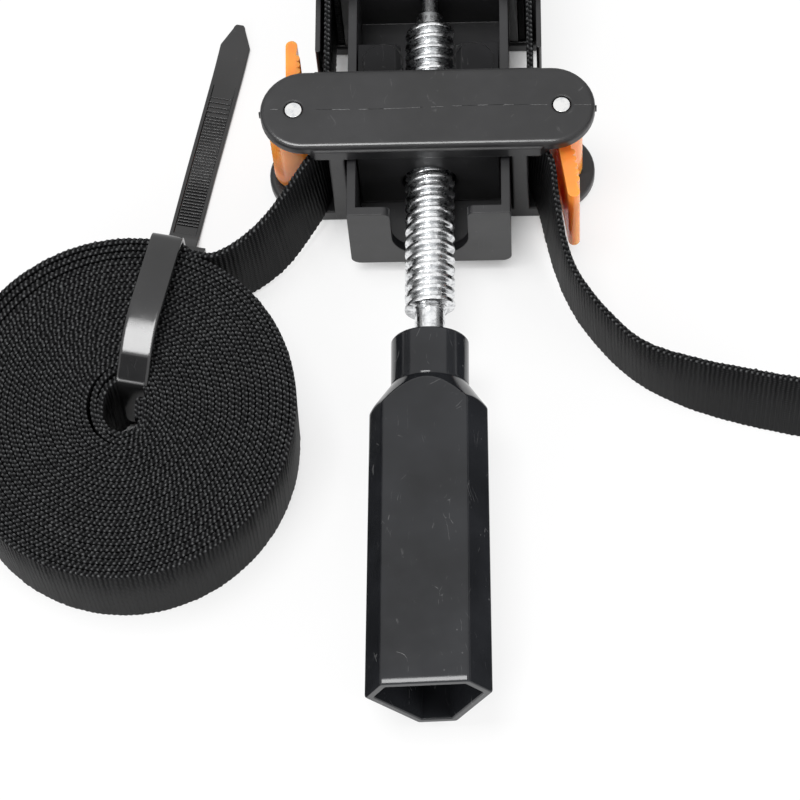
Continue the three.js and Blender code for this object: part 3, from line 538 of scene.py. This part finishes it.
# Each point of the strip's line has its distance from the roll's middle, its height and its shift
tie_route = [
    (52.6, 0.65, 0), (44, 0.65, 0), (30, 0.65, -0.3), (16, 0.65, -0.6), (10.0, 0.7, -0.8), (8.0, 1.0, -0.8),
    (6.7, 2.4, -0.8), (6.1, 5.0, -0.8), (6.0, 14.0, -0.8), (6.0, 22.0, -0.85), (6.1, 24.4, -0.9),
    (6.9, 25.1, -0.9), (8.8, 26.1, -0.9), (11.2, 27.5, -0.8), (12.2, 27.95, -0.8), (14.5, 28.55, -0.65),
    (17.0, 29.15, -0.6), (19.0, 29.5, -0.6), (21.0, 29.78, -0.6), (23.6, 30.0, -0.7), (26.4, 30.0, -0.8),
    (27.2, 29.92, -0.8), (34.0, 28.85, -0.8), (41.6, 27.2, -0.7), (44.6, 26.2, -0.6), (45.4, 23.6, -0.5),
    (45.4, 12, -0.2), (45.4, 6, 0), (45.6, 3.8, 0), (46.6, 3.0, 0.2), (53, 2.9, 0.6), (55.4, 2.0, 0.8),
    (57.6, 0.9, 0.9), (60.5, 0.65, 0.95), (70, 0.65, 0.9), (77, 0.65, 0.85), (83, 0.65, 0.75),
    (88, 0.65, 0.7), (92, 0.65, 0.65), (96, 0.65, 0.6), (100, 0.65, 0.55), (104, 0.65, 0.5),
    (108, 0.65, 0.5), (112.4, 0.65, 0.55), (113.4, 0.65, 0.55), (117.6, 0.65, 0.65), (118.6, 0.65, 0.7),
    (119.2, 0.65, 0.7),
]
tie_width, tie_thickness = 7.6, 1.2
tie_border_start, tie_border_end, tie_sunk = 58.5, 108.0, 0.34
tip_start, tip_round, tip_narrowing = 113.0, 118.2, 2.3


def rounded_line(points, rounds):
    """The same line with its corners cut off, so that a stiff strip can follow it."""
    for _ in range(rounds):
        cut = [points[0]]
        for near, far in zip(points, points[1:]):
            cut.append(near.lerp(far, 0.25))
            cut.append(near.lerp(far, 0.75))
        points = cut + [points[-1]]
    return points


def rewrite(mesh, shape):
    """Puts a worked shape into a mesh."""
    shape.to_mesh(mesh)
    shape.free()
    return mesh


def loft(name, rings, closed_ends=True):
    """A closed skin through rings of points of one count."""
    shape = bmesh.new()
    rows = [[shape.verts.new(point) for point in ring] for ring in rings]
    count = len(rows[0])
    for near, far in zip(rows, rows[1:]):
        for place in range(count):
            beside = (place + 1) % count
            shape.faces.new((near[place], near[beside], far[beside], far[place]))
    if closed_ends:
        shape.faces.new(rows[0][::-1])
        shape.faces.new(rows[-1])
    bmesh.ops.recalc_face_normals(shape, faces=shape.faces)
    return in_scene(name, rewrite(bpy.data.meshes.new(name), shape))


def smoothed(piece, degrees, *finishes):
    """Round faces shade smoothly, edges sharper than the angle stay crisp, and the finishes are given."""
    for face in piece.data.polygons:
        face.use_smooth = True
    piece.data.set_sharp_from_angle(angle=math.radians(degrees))
    for finish in finishes:
        piece.data.materials.append(finish)
    return piece


tie_way = toward(math.radians(tie_degrees)).to_3d()
tie_side = Vector((-tie_way.y, tie_way.x, 0))
tie_middle = coil_middle.to_3d()


def tie_rings():
    """Sections of the strip: smooth over the roll, bordered past the head, narrow at the tip."""
    line = rounded_line([Vector(point) for point in tie_route], 3)
    rings = []
    for place, at in enumerate(line):
        near, far = line[max(place - 1, 0)], line[min(place + 1, len(line) - 1)]
        along = (far - near).xy.normalized()
        outward = Vector((-along.y, along.x))
        loose = at.y < 3.2 and at.x > tie_border_start
        past = min(1.0, max(0.0, (at.x - tip_start) / (tip_round - tip_start))) if loose else 0.0
        half = tie_width / 2 - tip_narrowing * past
        if at.x > tip_round:
            half *= 1 - 0.35 * (at.x - tip_round) ** 2
        deep = tie_thickness / 2
        sunk = tie_sunk * min(1.0, max(0.0, (tie_border_end - at.x) / 16)) if loose else 0.0
        border, floor = min(0.9, half * 0.6), deep - sunk
        right = [(half, 0.2 - deep), (half, deep - 0.25), (half - 0.09, deep - 0.07), (half - 0.25, deep),
                 (half - border, deep), (half - border - 0.2, floor)]
        outline = [(-x, z) for x, z in right] + right[::-1] + [(half - 0.2, -deep), (0.2 - half, -deep)]
        rings.append([
            (tie_middle + tie_way * (at.x + outward.x * deep_part)
             + up * (at.y + outward.y * deep_part) + tie_side * (side_part + at.z)) * MM
            for side_part, deep_part in outline
        ])
    return rings


tie_strip = smoothed(loft("tie_strip", tie_rings()), 35, tie_nylon)
fitted(tie_strip, "tie_plastic", "carriage", "cable_tie_strip")


def toothed_tree():
    """Copies of one tooth in a row, from a start along a direction."""
    tree, given, result = start_tree(
        "row of teeth",
        {"Tooth": "Geometry", "Count": "Int", "Pitch": "Vector", "Finish": "Material"},
        {"Teeth": "Geometry"}, "GeometryNodeTree",
    )
    tooth, count, pitch, finish = given
    row = put(tree, "GeometryNodeMeshLine", Count=count, Offset=pitch, mode="OFFSET")
    placed = put(tree, "GeometryNodeInstanceOnPoints", Points=row, Instance=tooth)
    return finished(tree, result, placed, finish)


teeth_tree = toothed_tree()
tooth_start = 60.6
tooth_floor = 0.65 + 0.3
tooth_rings = []
for distance, height in ((0.0, -0.1), (0.46, 0.26), (0.56, 0.26), (0.6, -0.1)):
    tooth_rings.append(tie_middle + tie_way * distance + tie_side * 0.9 + up * (tooth_floor + height))
for name, start, pitch, count in (("tie_teeth", tooth_start, 0.86, 37),
                                  ("last_tie_teeth", tooth_start + 32.4, 1.35, 4)):
    tooth = loft("tie tooth", [
        [(at + tie_way * start + tie_side * side) * MM for at in tooth_rings] for side in (-2.75, 2.6)
    ])
    spacing = (tie_way * pitch - tie_side * 0.009 * pitch) * MM
    teeth = worked(tooth, teeth_tree, name, count=count, pitch=spacing, finish=tie_nylon)
    fitted(teeth, "tie_plastic", "carriage")


# The tie's head stands beside the roll: a block of the same nylon with round edges. The strip's end
# runs through its slot, and a pawl in it holds the teeth.
def dressed(node, name, slot, body, finishes, degrees=30):
    """A welded copy of a CAD node in its finishes, that shades smoothly where it is round."""
    shape = bmesh.new()
    shape.from_mesh(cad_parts[node].data)
    bmesh.ops.remove_doubles(shape, verts=shape.verts, dist=0.002 * MM)
    bmesh.ops.dissolve_limit(shape, angle_limit=math.radians(0.4), verts=shape.verts, edges=shape.edges)
    piece = smoothed(in_scene(name, rewrite(bpy.data.meshes.new(name), shape)), degrees, *finishes)
    fitted(piece, slot, body, node)
    return piece


dressed("cable_tie_head", "tie_head", "tie_plastic", "carriage", [tie_nylon])

# Frame: one black nylon moulding with two rails, a floor, an end wall with a round notch for the
# spindle, and the nose that the band runs round. Its faces are satin and a little scuffed.
frame_plastic = moulding("satin black moulding", (0.0115, 0.0115, 0.0127, 1), 0.36, 0.3, 0.3, 0.35 * MM)
dressed("frame_body", "frame_moulding", "black_moulding", "frame", [frame_plastic])

# Carriage: a second black moulding that slides on the rails. Two plates carry the lever pins, and
# a block between the rails holds the nut. The shelf behind the top plate is painted darker and less
# glossy as painted shade from the top plate over it.
carriage_plastic = moulding("satin black carriage", (0.0125, 0.0125, 0.0135, 1), 0.36, 0.35, 0.28, 0.8 * MM)
shelf_painted_shade = moulding("black shelf in painted shade", (0.011, 0.011, 0.012, 1), 0.42, 0.5, 0.5, 0.3 * MM,
                         Specular_IOR_Level=0.12)
carriage_moulding = dressed("carriage_body", "carriage_moulding", "black_moulding", "carriage",
                            [carriage_plastic, shelf_painted_shade], 20)
shelf_top = 28.4
# The rear shelf's upward faces take the darker, duller finish of painted shade.
for face in carriage_moulding.data.polygons:
    if face.normal.z > 0.99 and abs(face.center.z / MM - shelf_top) < 0.3:
        face.material_index = 1


# Marks of the carriage's mould: a thin raised seam along the middle of the top plate with a nick at
# each end, two round ejector marks on the rear shelf and a polished line along the plate's front edge,
# painted a little lighter than the plate as a painted highlight.
# The seam is tinted a pale grey along its length.
seam_plastic = moulding("pale grey seam", (0.13, 0.13, 0.132, 1), 0.3, 0.5, 1.0, 0.05 * MM)
# Painted highlight: the edge line is painted lighter than the plate, besides catching the lamp.
edge_highlight_plastic = moulding("polished black edge", (0.02, 0.02, 0.021, 1), 0.2, 0.1, 0.5, 0.02 * MM)
plate_end, _, plate_top = (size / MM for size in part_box("carriage_body")[1])
seam_sizes = random.Random(7)


def seam_rings(start, end, pieces):
    """Sections of a thin seam that grows and fades along its way."""
    rings = []
    for piece in range(pieces + 1):
        x = start + (end - start) * piece / pieces
        y = 0.25 * math.sin(x / 9.0) + seam_sizes.uniform(-0.05, 0.05)
        half = seam_sizes.uniform(0.04, 0.14)
        if piece % 6 == 0:
            top = seam_sizes.choice((-0.02, 0.0, 0.01, 0.05))
        rings.append([Vector((x, y + half * share, plate_top + height)) * MM
                      for share, height in ((-1, -0.05), (-0.4, top), (0.4, top), (1, -0.05))])
    return rings


def rim_rings(x, y, z, radius, turns, outline):
    """Sections of a thin rim round a middle, in mm: its outline is given as way out and height."""
    return [[(Vector((x, y, z + height)) + toward(math.radians(turn)).to_3d() * (radius + out)) * MM
             for out, height in outline] for turn in turns]


def block_rings(low, high):
    """A plain block between two corners, in mm."""
    return [[Vector((x, y, z)) * MM
             for y, z in ((low[1], low[2]), (high[1], low[2]), (high[1], high[2]), (low[1], high[2]))]
            for x in (low[0], high[0])]


# The polished line with its painted highlight follows the plate's round left end, its front and a part of
# its right end
line_outline = ((-0.06, -0.06), (-0.03, 0.02), (0.36, -0.07), (0.39, -0.16))
line_middle, line_radius = 29.5, 9.6
line_rings = (rim_rings(-line_middle, 0, plate_top, line_radius, range(180, 275, 5), line_outline)
              + rim_rings(line_middle, 0, plate_top, line_radius, range(270, 345, 5), line_outline))
mark_outline = ((-0.2, -0.02), (-0.06, 0.045), (0.06, 0.045), (0.2, -0.02))
nick_bottom, nick_top = 31.6, 33.9
marks = [("front_edge_of_the_plate", line_rings, edge_highlight_plastic)]
for word, side in (("left", -1), ("right", 1)):
    end = side * plate_end
    nick = (end - side * 0.3, -0.25, nick_bottom), (end + side * 0.35, 0.2, nick_top)
    turns = [7.5 * step for step in range(49)]
    marks += [
        (word + "_seam_on_the_plate", seam_rings(side * 28.6, side * 1.0, 80), seam_plastic),
        (word + "_seam_at_the_end", seam_rings(end - side * 1.0, side * 35.0, 14), seam_plastic),
        (word + "_nick_at_the_end", block_rings(*nick), carriage_plastic),
        (word + "_ejector_mark", rim_rings(side * 11.0, 16.6, shelf_top, 4.9, turns, mark_outline),
         carriage_plastic),
    ]
for name, rings, finish in marks:
    mark = loft(name, rings, "ejector" not in name)
    mark.data.materials.append(finish)
    fitted(mark, "black_moulding", "carriage")


# Steel pieces: the spindle, its nut, pad and ring are mild steel with bright zinc plating. It has
# fine turning marks and small dull stains.
def plating_group():
    """Bright plating with fine turning marks and small dull stains."""
    tree, given, result = start_tree(
        "bright zinc plating",
        {"Tint": "Color", "Turned": "Float"},
        {"Colour": "Color", "Roughness": "Float", "Normal": "Vector"},
    )
    tint, turned_marks = given
    place = put(tree, "ShaderNodeTexCoord").outputs["Object"]
    squeezed = put(tree, "ShaderNodeMapping", place, None, None, (90.0, 1500.0, 90.0))
    rings = noise(tree, squeezed, 1.0)
    pits = noise(tree, place, 2400.0)
    dull = ranged(tree, noise(tree, place, 700.0, 4.0, 0.7), 0.47, 0.62)
    shade = blended(tree, dull, tint, (0.46, 0.47, 0.48, 1))
    rough = reckon(tree, "MULTIPLY_ADD", dull, 0.22, 0.2)
    relief = reckon(tree, "MULTIPLY_ADD", rings, turned_marks, times(tree, pits, 0.25))
    rounded = put(tree, "ShaderNodeBevel", 0.12 * MM, samples=4)
    return face_results(tree, result, shade, rough, rounded, 0.4, 0.03 * MM, relief)


plating = plating_group()


def bright_metal(name, tint, turned_marks):
    """A metal with the plating's marks."""
    material, shader = finish_with(plating, name, Tint=tint, Turned=turned_marks)
    shader.inputs["Metallic"].default_value = 1.0
    return material


zinc_plate = bright_metal("bright zinc plate", (0.86, 0.87, 0.88, 1), 1.0)
dressed("spindle_nut", "nut_in_the_block", "plated_steel", "carriage", [zinc_plate])
dressed("thrust_pad", "pad_in_the_nose", "plated_steel", "frame", [zinc_plate])
dressed("retaining_ring", "ring_on_the_pilot", "plated_steel", "spindle_set", [zinc_plate])


def thread_tree():
    """A screw thread on the axis along Y: each row of the skin follows the thread's own slope."""
    tree, given, result = start_tree(
        "screw thread",
        {"Pitch": "Float", "Crest radius": "Float", "Root radius": "Float", "Start": "Float",
         "Length": "Float", "Axis height": "Float", "Rows": "Int", "Sides": "Int", "Row step": "Float",
         "Finish": "Material"},
        {"Thread": "Geometry"}, "GeometryNodeTree",
    )
    pitch, crest, root, start, length, height, rows, sides, row_step, finish = given
    grid = put(tree, "GeometryNodeMeshGrid", 1.0, 1.0, sides, rows)
    parts = put(tree, "ShaderNodeSeparateXYZ", put(tree, "GeometryNodeInputPosition"))
    last_row = reckon(tree, "SUBTRACT", rows, 1.0)
    row = times(tree, reckon(tree, "ADD", parts.outputs[1], 0.5), last_row)
    travel = reckon(tree, "MULTIPLY_ADD", row, row_step, times(tree, pitch, -1.0))
    place = reckon(tree, "MULTIPLY_ADD", parts.outputs[0], pitch, travel)
    held = put(tree, "ShaderNodeClamp", place, 0.0, length)
    beyond = reckon(tree, "ABSOLUTE", reckon(tree, "SUBTRACT", place, held))
    kept = reckon(tree, "LESS_THAN", beyond, row_step)
    turns = reckon(tree, "ADD", reckon(tree, "DIVIDE", travel, pitch), 0.25)
    across = reckon(tree, "PINGPONG", turns, 0.5)
    flank = ranged(tree, across, 0.17, 0.35, interpolation_type="SMOOTHSTEP")
    depth = reckon(tree, "SUBTRACT", crest, root)
    radius = times(tree, reckon(tree, "MULTIPLY_ADD", flank, depth, root), kept)
    angle = times(tree, parts.outputs[0], 2 * math.pi)
    x = times(tree, radius, reckon(tree, "SINE", angle))
    z = reckon(tree, "MULTIPLY_ADD", radius, reckon(tree, "COSINE", angle), height)
    wound = put(tree, "ShaderNodeCombineXYZ", x, reckon(tree, "ADD", start, held), z)
    shaped = put(tree, "GeometryNodeSetPosition", grid, None, wound)
    welded = put(tree, "GeometryNodeMergeByDistance", shaped, Distance=0.002 * MM)
    smooth = put(tree, "GeometryNodeSetShadeSmooth", welded)
    return finished(tree, result, smooth, finish)


axis_height = 17.3
thread_back, thread_front = -45.4, 31.4
thread_pitch = 3.0
rows_per_turn = 14
thread_rows = math.ceil((thread_front - thread_back + 2 * thread_pitch) / thread_pitch * rows_per_turn) + 1
thread = worked(
    in_scene("thread seed", bpy.data.meshes.new("thread seed")), thread_tree(), "screw_thread",
    pitch=thread_pitch * MM, crest_radius=6.0 * MM, root_radius=4.45 * MM, start=thread_back * MM,
    length=(thread_front - thread_back) * MM, axis_height=axis_height * MM, rows=thread_rows, sides=73,
    row_step=thread_pitch / rows_per_turn * MM, finish=zinc_plate,
)


def turned(name, profile, sides=56):
    """A turned rod on the spindle's axis, from pairs of place along Y and radius."""
    ways = [toward(2 * math.pi * side / sides) for side in range(sides)]
    return loft(name, [[Vector((radius * way.y, y, axis_height + radius * way.x)) * MM for way in ways]
                       for y, radius in profile])


shank, core, pilot = 3.6, 4.3, 1.95
rod = turned("threaded_spindle", [
    (-65.4, shank - 0.3), (-65.1, shank), (-45.9, shank), (-45.2, core), (30.9, core), (31.6, 3.3),
    (35.4, 3.3), (35.7, pilot), (47.4, pilot), (47.7, pilot - 0.35),
])
smoothed(rod, 30, zinc_plate)
shape = bmesh.new()
shape.from_mesh(rod.data)
shape.from_mesh(thread.data)
bmesh.ops.recalc_face_normals(shape, faces=shape.faces)
rewrite(rod.data, shape)
bpy.data.objects.remove(thread)
fitted(rod, "plated_steel", "spindle_set", "spindle")

# Handle: a hollow glossy black moulding with three wide and three narrow flats under a cone, and a
# round neck that is pressed on the spindle's shank. Its faces carry fine scratches and dust.
handle_plastic = moulding("glossy black handle", (0.014, 0.0148, 0.017, 1), 0.13, 0.05, 0.55, 0.2 * MM,
                          Specular_IOR_Level=0.4)
handle_turn = math.radians(4.8)
neck_end, neck_start = -66.1, -53.8
grip_end = -143.8
hollow_start = -75.6
wide_reach, narrow_reach = 10.5, 13.7
neck_radius, cone_radius, cone_slope = 9.2, 9.35, 0.69
soft_edge = 0.35


def grip_section(growth, rounding):
    """Corners of the grip's six-sided section with round edges, grown by a length in mm."""
    normals = [handle_turn + math.radians(90 + 60 * flat) for flat in range(6)]
    reach = [(wide_reach if flat % 2 == 0 else narrow_reach) + growth for flat in range(6)]
    corners = []
    for flat in range(6):
        a, b = normals[flat], normals[(flat + 1) % 6]
        p, q = reach[flat], reach[(flat + 1) % 6]
        span = math.sin(b - a)
        corner = Vector((p * math.sin(b) - q * math.sin(a), q * math.cos(a) - p * math.cos(b)))
        corners.append(corner / span)
    trim = rounding * math.tan(math.radians(30))
    points = []
    for flat in range(6):
        a = normals[flat]
        along = Vector((-math.sin(a), math.cos(a)))
        first, last = corners[flat - 1] + along * trim, corners[flat] - along * trim
        pieces = 22 if flat % 2 == 0 else 9
        points += [first.lerp(last, step / pieces) for step in range(pieces + 1)]
        middle = last - toward(a) * rounding
        points += [middle + toward(a + math.radians(15) * step) * rounding for step in (1, 2, 3)]
    return points


def under_the_cone(points, limit):
    """Draws in the points that stand past the cone, with a soft edge where flat and cone meet."""
    drawn = []
    for point in points:
        reach = point.length
        blend = max(0.0, soft_edge - abs(reach - limit)) / soft_edge
        drawn.append(point * ((min(reach, limit) - blend * blend * soft_edge / 4) / reach))
    return drawn


def grip_growth(y):
    """How much wider the grip is at a place than at its neck."""
    return 0.6 * (neck_end - y) / (neck_end - grip_end)


grip_rows = [(neck_end - 0.25 * step, cone_radius + cone_slope * 0.25 * step) for step in range(58)]
grip_rows += [(y, math.inf) for y in (-82.0, -90.0, -100.0, -110.0, -120.0, -130.0, -138.0, -142.0, -143.2)]
rings = []
neck_ways = [point.normalized() for point in grip_section(0, 1.0)]
for y, radius in ((neck_start - 1.6, 4.2), (neck_start, 4.2), (neck_start, 8.6), (neck_start - 0.15, 8.95),
                  (neck_start - 0.5, neck_radius), (neck_start - 6.0, neck_radius),
                  (neck_end + 0.7, neck_radius), (neck_end + 0.45, neck_radius), (neck_end + 0.1, 9.05)):
    rings.append((y, [way * radius for way in neck_ways]))
for y, limit in grip_rows:
    rings.append((y, under_the_cone(grip_section(grip_growth(y), 1.0), limit)))
for y, inset, rounding in ((-143.6, 0.12, 0.9), (grip_end, 0.4, 0.8), (grip_end, 1.7, 0.5),
                           (-143.6, 1.95, 0.5), (-143.0, 2.05, 0.5), (-110.0, 2.1, 0.5),
                           (hollow_start, 2.2, 0.5)):
    rings.append((y, grip_section(grip_growth(y) - inset, rounding)))
handle = loft("handle_moulding", [
    [Vector((point.x, y, axis_height + point.y)) * MM for point in ring] for y, ring in rings
])
fitted(smoothed(handle, 28, handle_plastic), "glossy_grip", "spindle_set", "handle_grip")

# Cam levers: orange nylon mouldings on the pins, with level ribs round the lobe that bites the band
# and grip ridges along the finger tongue's outer side. The right one is closed, the left stands open.
lever_plastic = moulding(
    "orange lever nylon", (0.98, 0.27, 0.045, 1), 0.2, 0.08, 0.1, 0.1 * MM,
    Subsurface_Weight=0.6, Subsurface_Radius=(0.009, 0.003, 0.0016), Subsurface_Scale=1.0,
)
pin_place, pin_clearance = 32.0, 4.5
rib_low, rib_pitch, rib_count, rib_depth = 9.4, 1.95, 8, 0.8
rib_start, rib_growth = -44, 17
lobe_degrees, lobe_start, lobe_end = -97, -80.5, 60.5
lobe_radius, lobe_growth, lobe_fall = 6.6, 0.35 / 60, 1.6 / 80


def ribbed(lever, side, tongue_degrees):
    """Levels are cut through the lobe's skin, and every second level is drawn in between two ribs."""
    shape = bmesh.new()
    shape.from_mesh(lever.data)
    for level in range(2 * rib_count + 1):
        everything = shape.verts[:] + shape.edges[:] + shape.faces[:]
        bmesh.ops.bisect_plane(shape, geom=everything, dist=0.001 * MM, plane_no=(0, 0, 1),
                               plane_co=(0, 0, (rib_low + rib_pitch * level / 2) * MM))
    for corner in shape.verts:
        x, y = corner.co.x / MM - side * pin_place, corner.co.y / MM
        turn = side * (math.degrees(math.atan2(y, x)) - tongue_degrees)
        place = (turn - lobe_degrees + 180) % 360 - 180
        if math.hypot(x, y) < pin_clearance or not lobe_start < place < lobe_end:
            continue
        level = (corner.co.z / MM - rib_low) / rib_pitch * 2
        between = 0 < level < 2 * rib_count and round(level) % 2 == 1
        strength = min(1.0, max(0.0, (place - rib_start) / rib_growth))
        radius = lobe_radius + lobe_growth * max(place, 0) - lobe_fall * max(-place, 0)
        radius -= rib_depth * between * strength
        scale = radius / math.hypot(x, y)
        corner.co.x = (side * pin_place + x * scale) * MM
        corner.co.y = y * scale * MM
    rewrite(lever.data, shape)


for side, body, tongue_degrees in ((-1, "left_lever", 93), (1, "right_lever", 277)):
    lever = dressed(body.replace("lever", "cam_lever"), body + "_moulding", "orange_lever", body, [])
    ribbed(lever, side, tongue_degrees)
    smoothed(lever, 34, lever_plastic)

# Pins: plain aluminium rods that the levers turn on. They have no head: they are pressed through
# both plates and cut flush.
pin_metal = bright_metal("satin aluminium", (0.84, 0.84, 0.83, 1), 0.2)
for side in ("left", "right"):
    dressed(side + "_pivot_pin", side + "_pin", "aluminium_pin", "carriage", [pin_metal])

# Table and studio light: a white sheet under the clamp, a soft lamp above it, two weak ones in front
# and an even white room. Grey and dark flags, seen in reflections only, give the metal and the gloss
# their darker bands.
def staged_sheet(name, near, far, reach, finish):
    """A plain sheet of the stage, from the edge between two corners as far as it reaches."""
    mesh = bpy.data.meshes.new(name)
    edge = [Vector(near), Vector(far)]
    mesh.from_pydata(edge + [corner + Vector(reach) for corner in edge[::-1]], [], [(0, 1, 2, 3)])
    mesh.materials.append(finish)
    sheet = in_scene(name, mesh)
    return sheet


def seen_directly(tree):
    """1 for what the camera, a reflection or a clear piece shows, and 0 for the light that falls."""
    path = put(tree, "ShaderNodeLightPath")
    mirrored = reckon(tree, "MAXIMUM", path.outputs["Is Glossy Ray"], path.outputs["Is Transmission Ray"])
    return reckon(tree, "MAXIMUM", path.outputs["Is Camera Ray"], mirrored)


table_paper, tree, shader = start_material("white paper")
feed(tree, shader, {"Base Color": (0.93, 0.93, 0.93, 1), "Roughness": 0.9, "Specular IOR Level": 0.1})
glow = put(tree, "ShaderNodeEmission", (1, 1, 1, 1), 1.0)
nearby = put(tree, "ShaderNodeAmbientOcclusion", Distance=30 * MM, samples=8)
open_air = ranged(tree, nearby.outputs["AO"], 0.12, 0.4, 0.0, 0.8)
mixed = put(tree, "ShaderNodeMixShader", times(tree, seen_directly(tree), open_air),
            shader, glow)
feed(tree, tree.nodes["Material Output"], {"Surface": mixed})
table = staged_sheet("white table", (-6, -6, 0), (6, -6, 0), (0, 12, 0), table_paper)
table.location.z = -0.1 * MM

# Two flags stand at the sides, one hangs behind the camera and two lie low beside the handle
for name, grey, near, far, reach in (
    ("left flag", 0.25, (-0.62, -0.9, 0.1), (-0.62, 0.9, 0.1), (0, 0, 0.3)),
    ("right flag", 0.2, (0.6, -0.9, 0.1), (0.6, 0.9, 0.1), (0, 0, 0.4)),
    ("flag behind the camera", 0.05, (-0.95, -0.48, 1.3), (-0.28, -0.48, 1.3), (0, -0.72, -0.2)),
    ("low flag right of the handle", 0.03, (0.04, -0.175, 0), (0.04, -0.062, 0), (0, 0, 0.028)),
    ("low flag left of the handle", 0.03, (-0.025, -0.17, 0), (-0.025, -0.078, 0), (0, 0, 0.028)),
):
    cloth, tree, shader = start_material(name + " cloth")
    feed(tree, shader, {"Base Color": (grey, grey, grey, 1), "Specular IOR Level": 0.0})
    flag = staged_sheet(name, near, far, reach, cloth)
    flag.visible_camera = False
    flag.visible_diffuse = False
    flag.visible_shadow = False

room = bpy.data.worlds.new("white room")
bpy.context.scene.world = room
room.use_nodes = True
tree = room.node_tree
tree.nodes.clear()
strength = reckon(tree, "MULTIPLY_ADD", seen_directly(tree), 0.5, 0.5)
sky = put(tree, "ShaderNodeBackground", (1, 1, 1, 1), strength)
put(tree, "ShaderNodeOutputWorld", sky)

for name, place, width, depth, power, aimed in (
    ("lamp above the clamp", (-0.27, -0.02, 1.4), 0.62, 0.45, 12.0, False),
    ("fill beside the handle", (-0.68, -0.82, 0.5), 0.5, 0.5, 4.2, True),
    ("fill at the right", (0.75, -0.45, 0.35), 0.4, 0.4, 3.4, True),
):
    lamp = bpy.data.lights.new(name, "AREA")
    lamp.shape = "RECTANGLE"
    lamp.size = width
    lamp.size_y = depth
    lamp.energy = power
    holder = in_scene(name, lamp)
    holder.location = place
    if aimed:
        holder.rotation_euler = (-Vector(place)).to_track_quat("-Z", "Y").to_euler()

bpy.context.view_layer.update()
bpy.context.scene.view_settings.view_transform = "Standard"
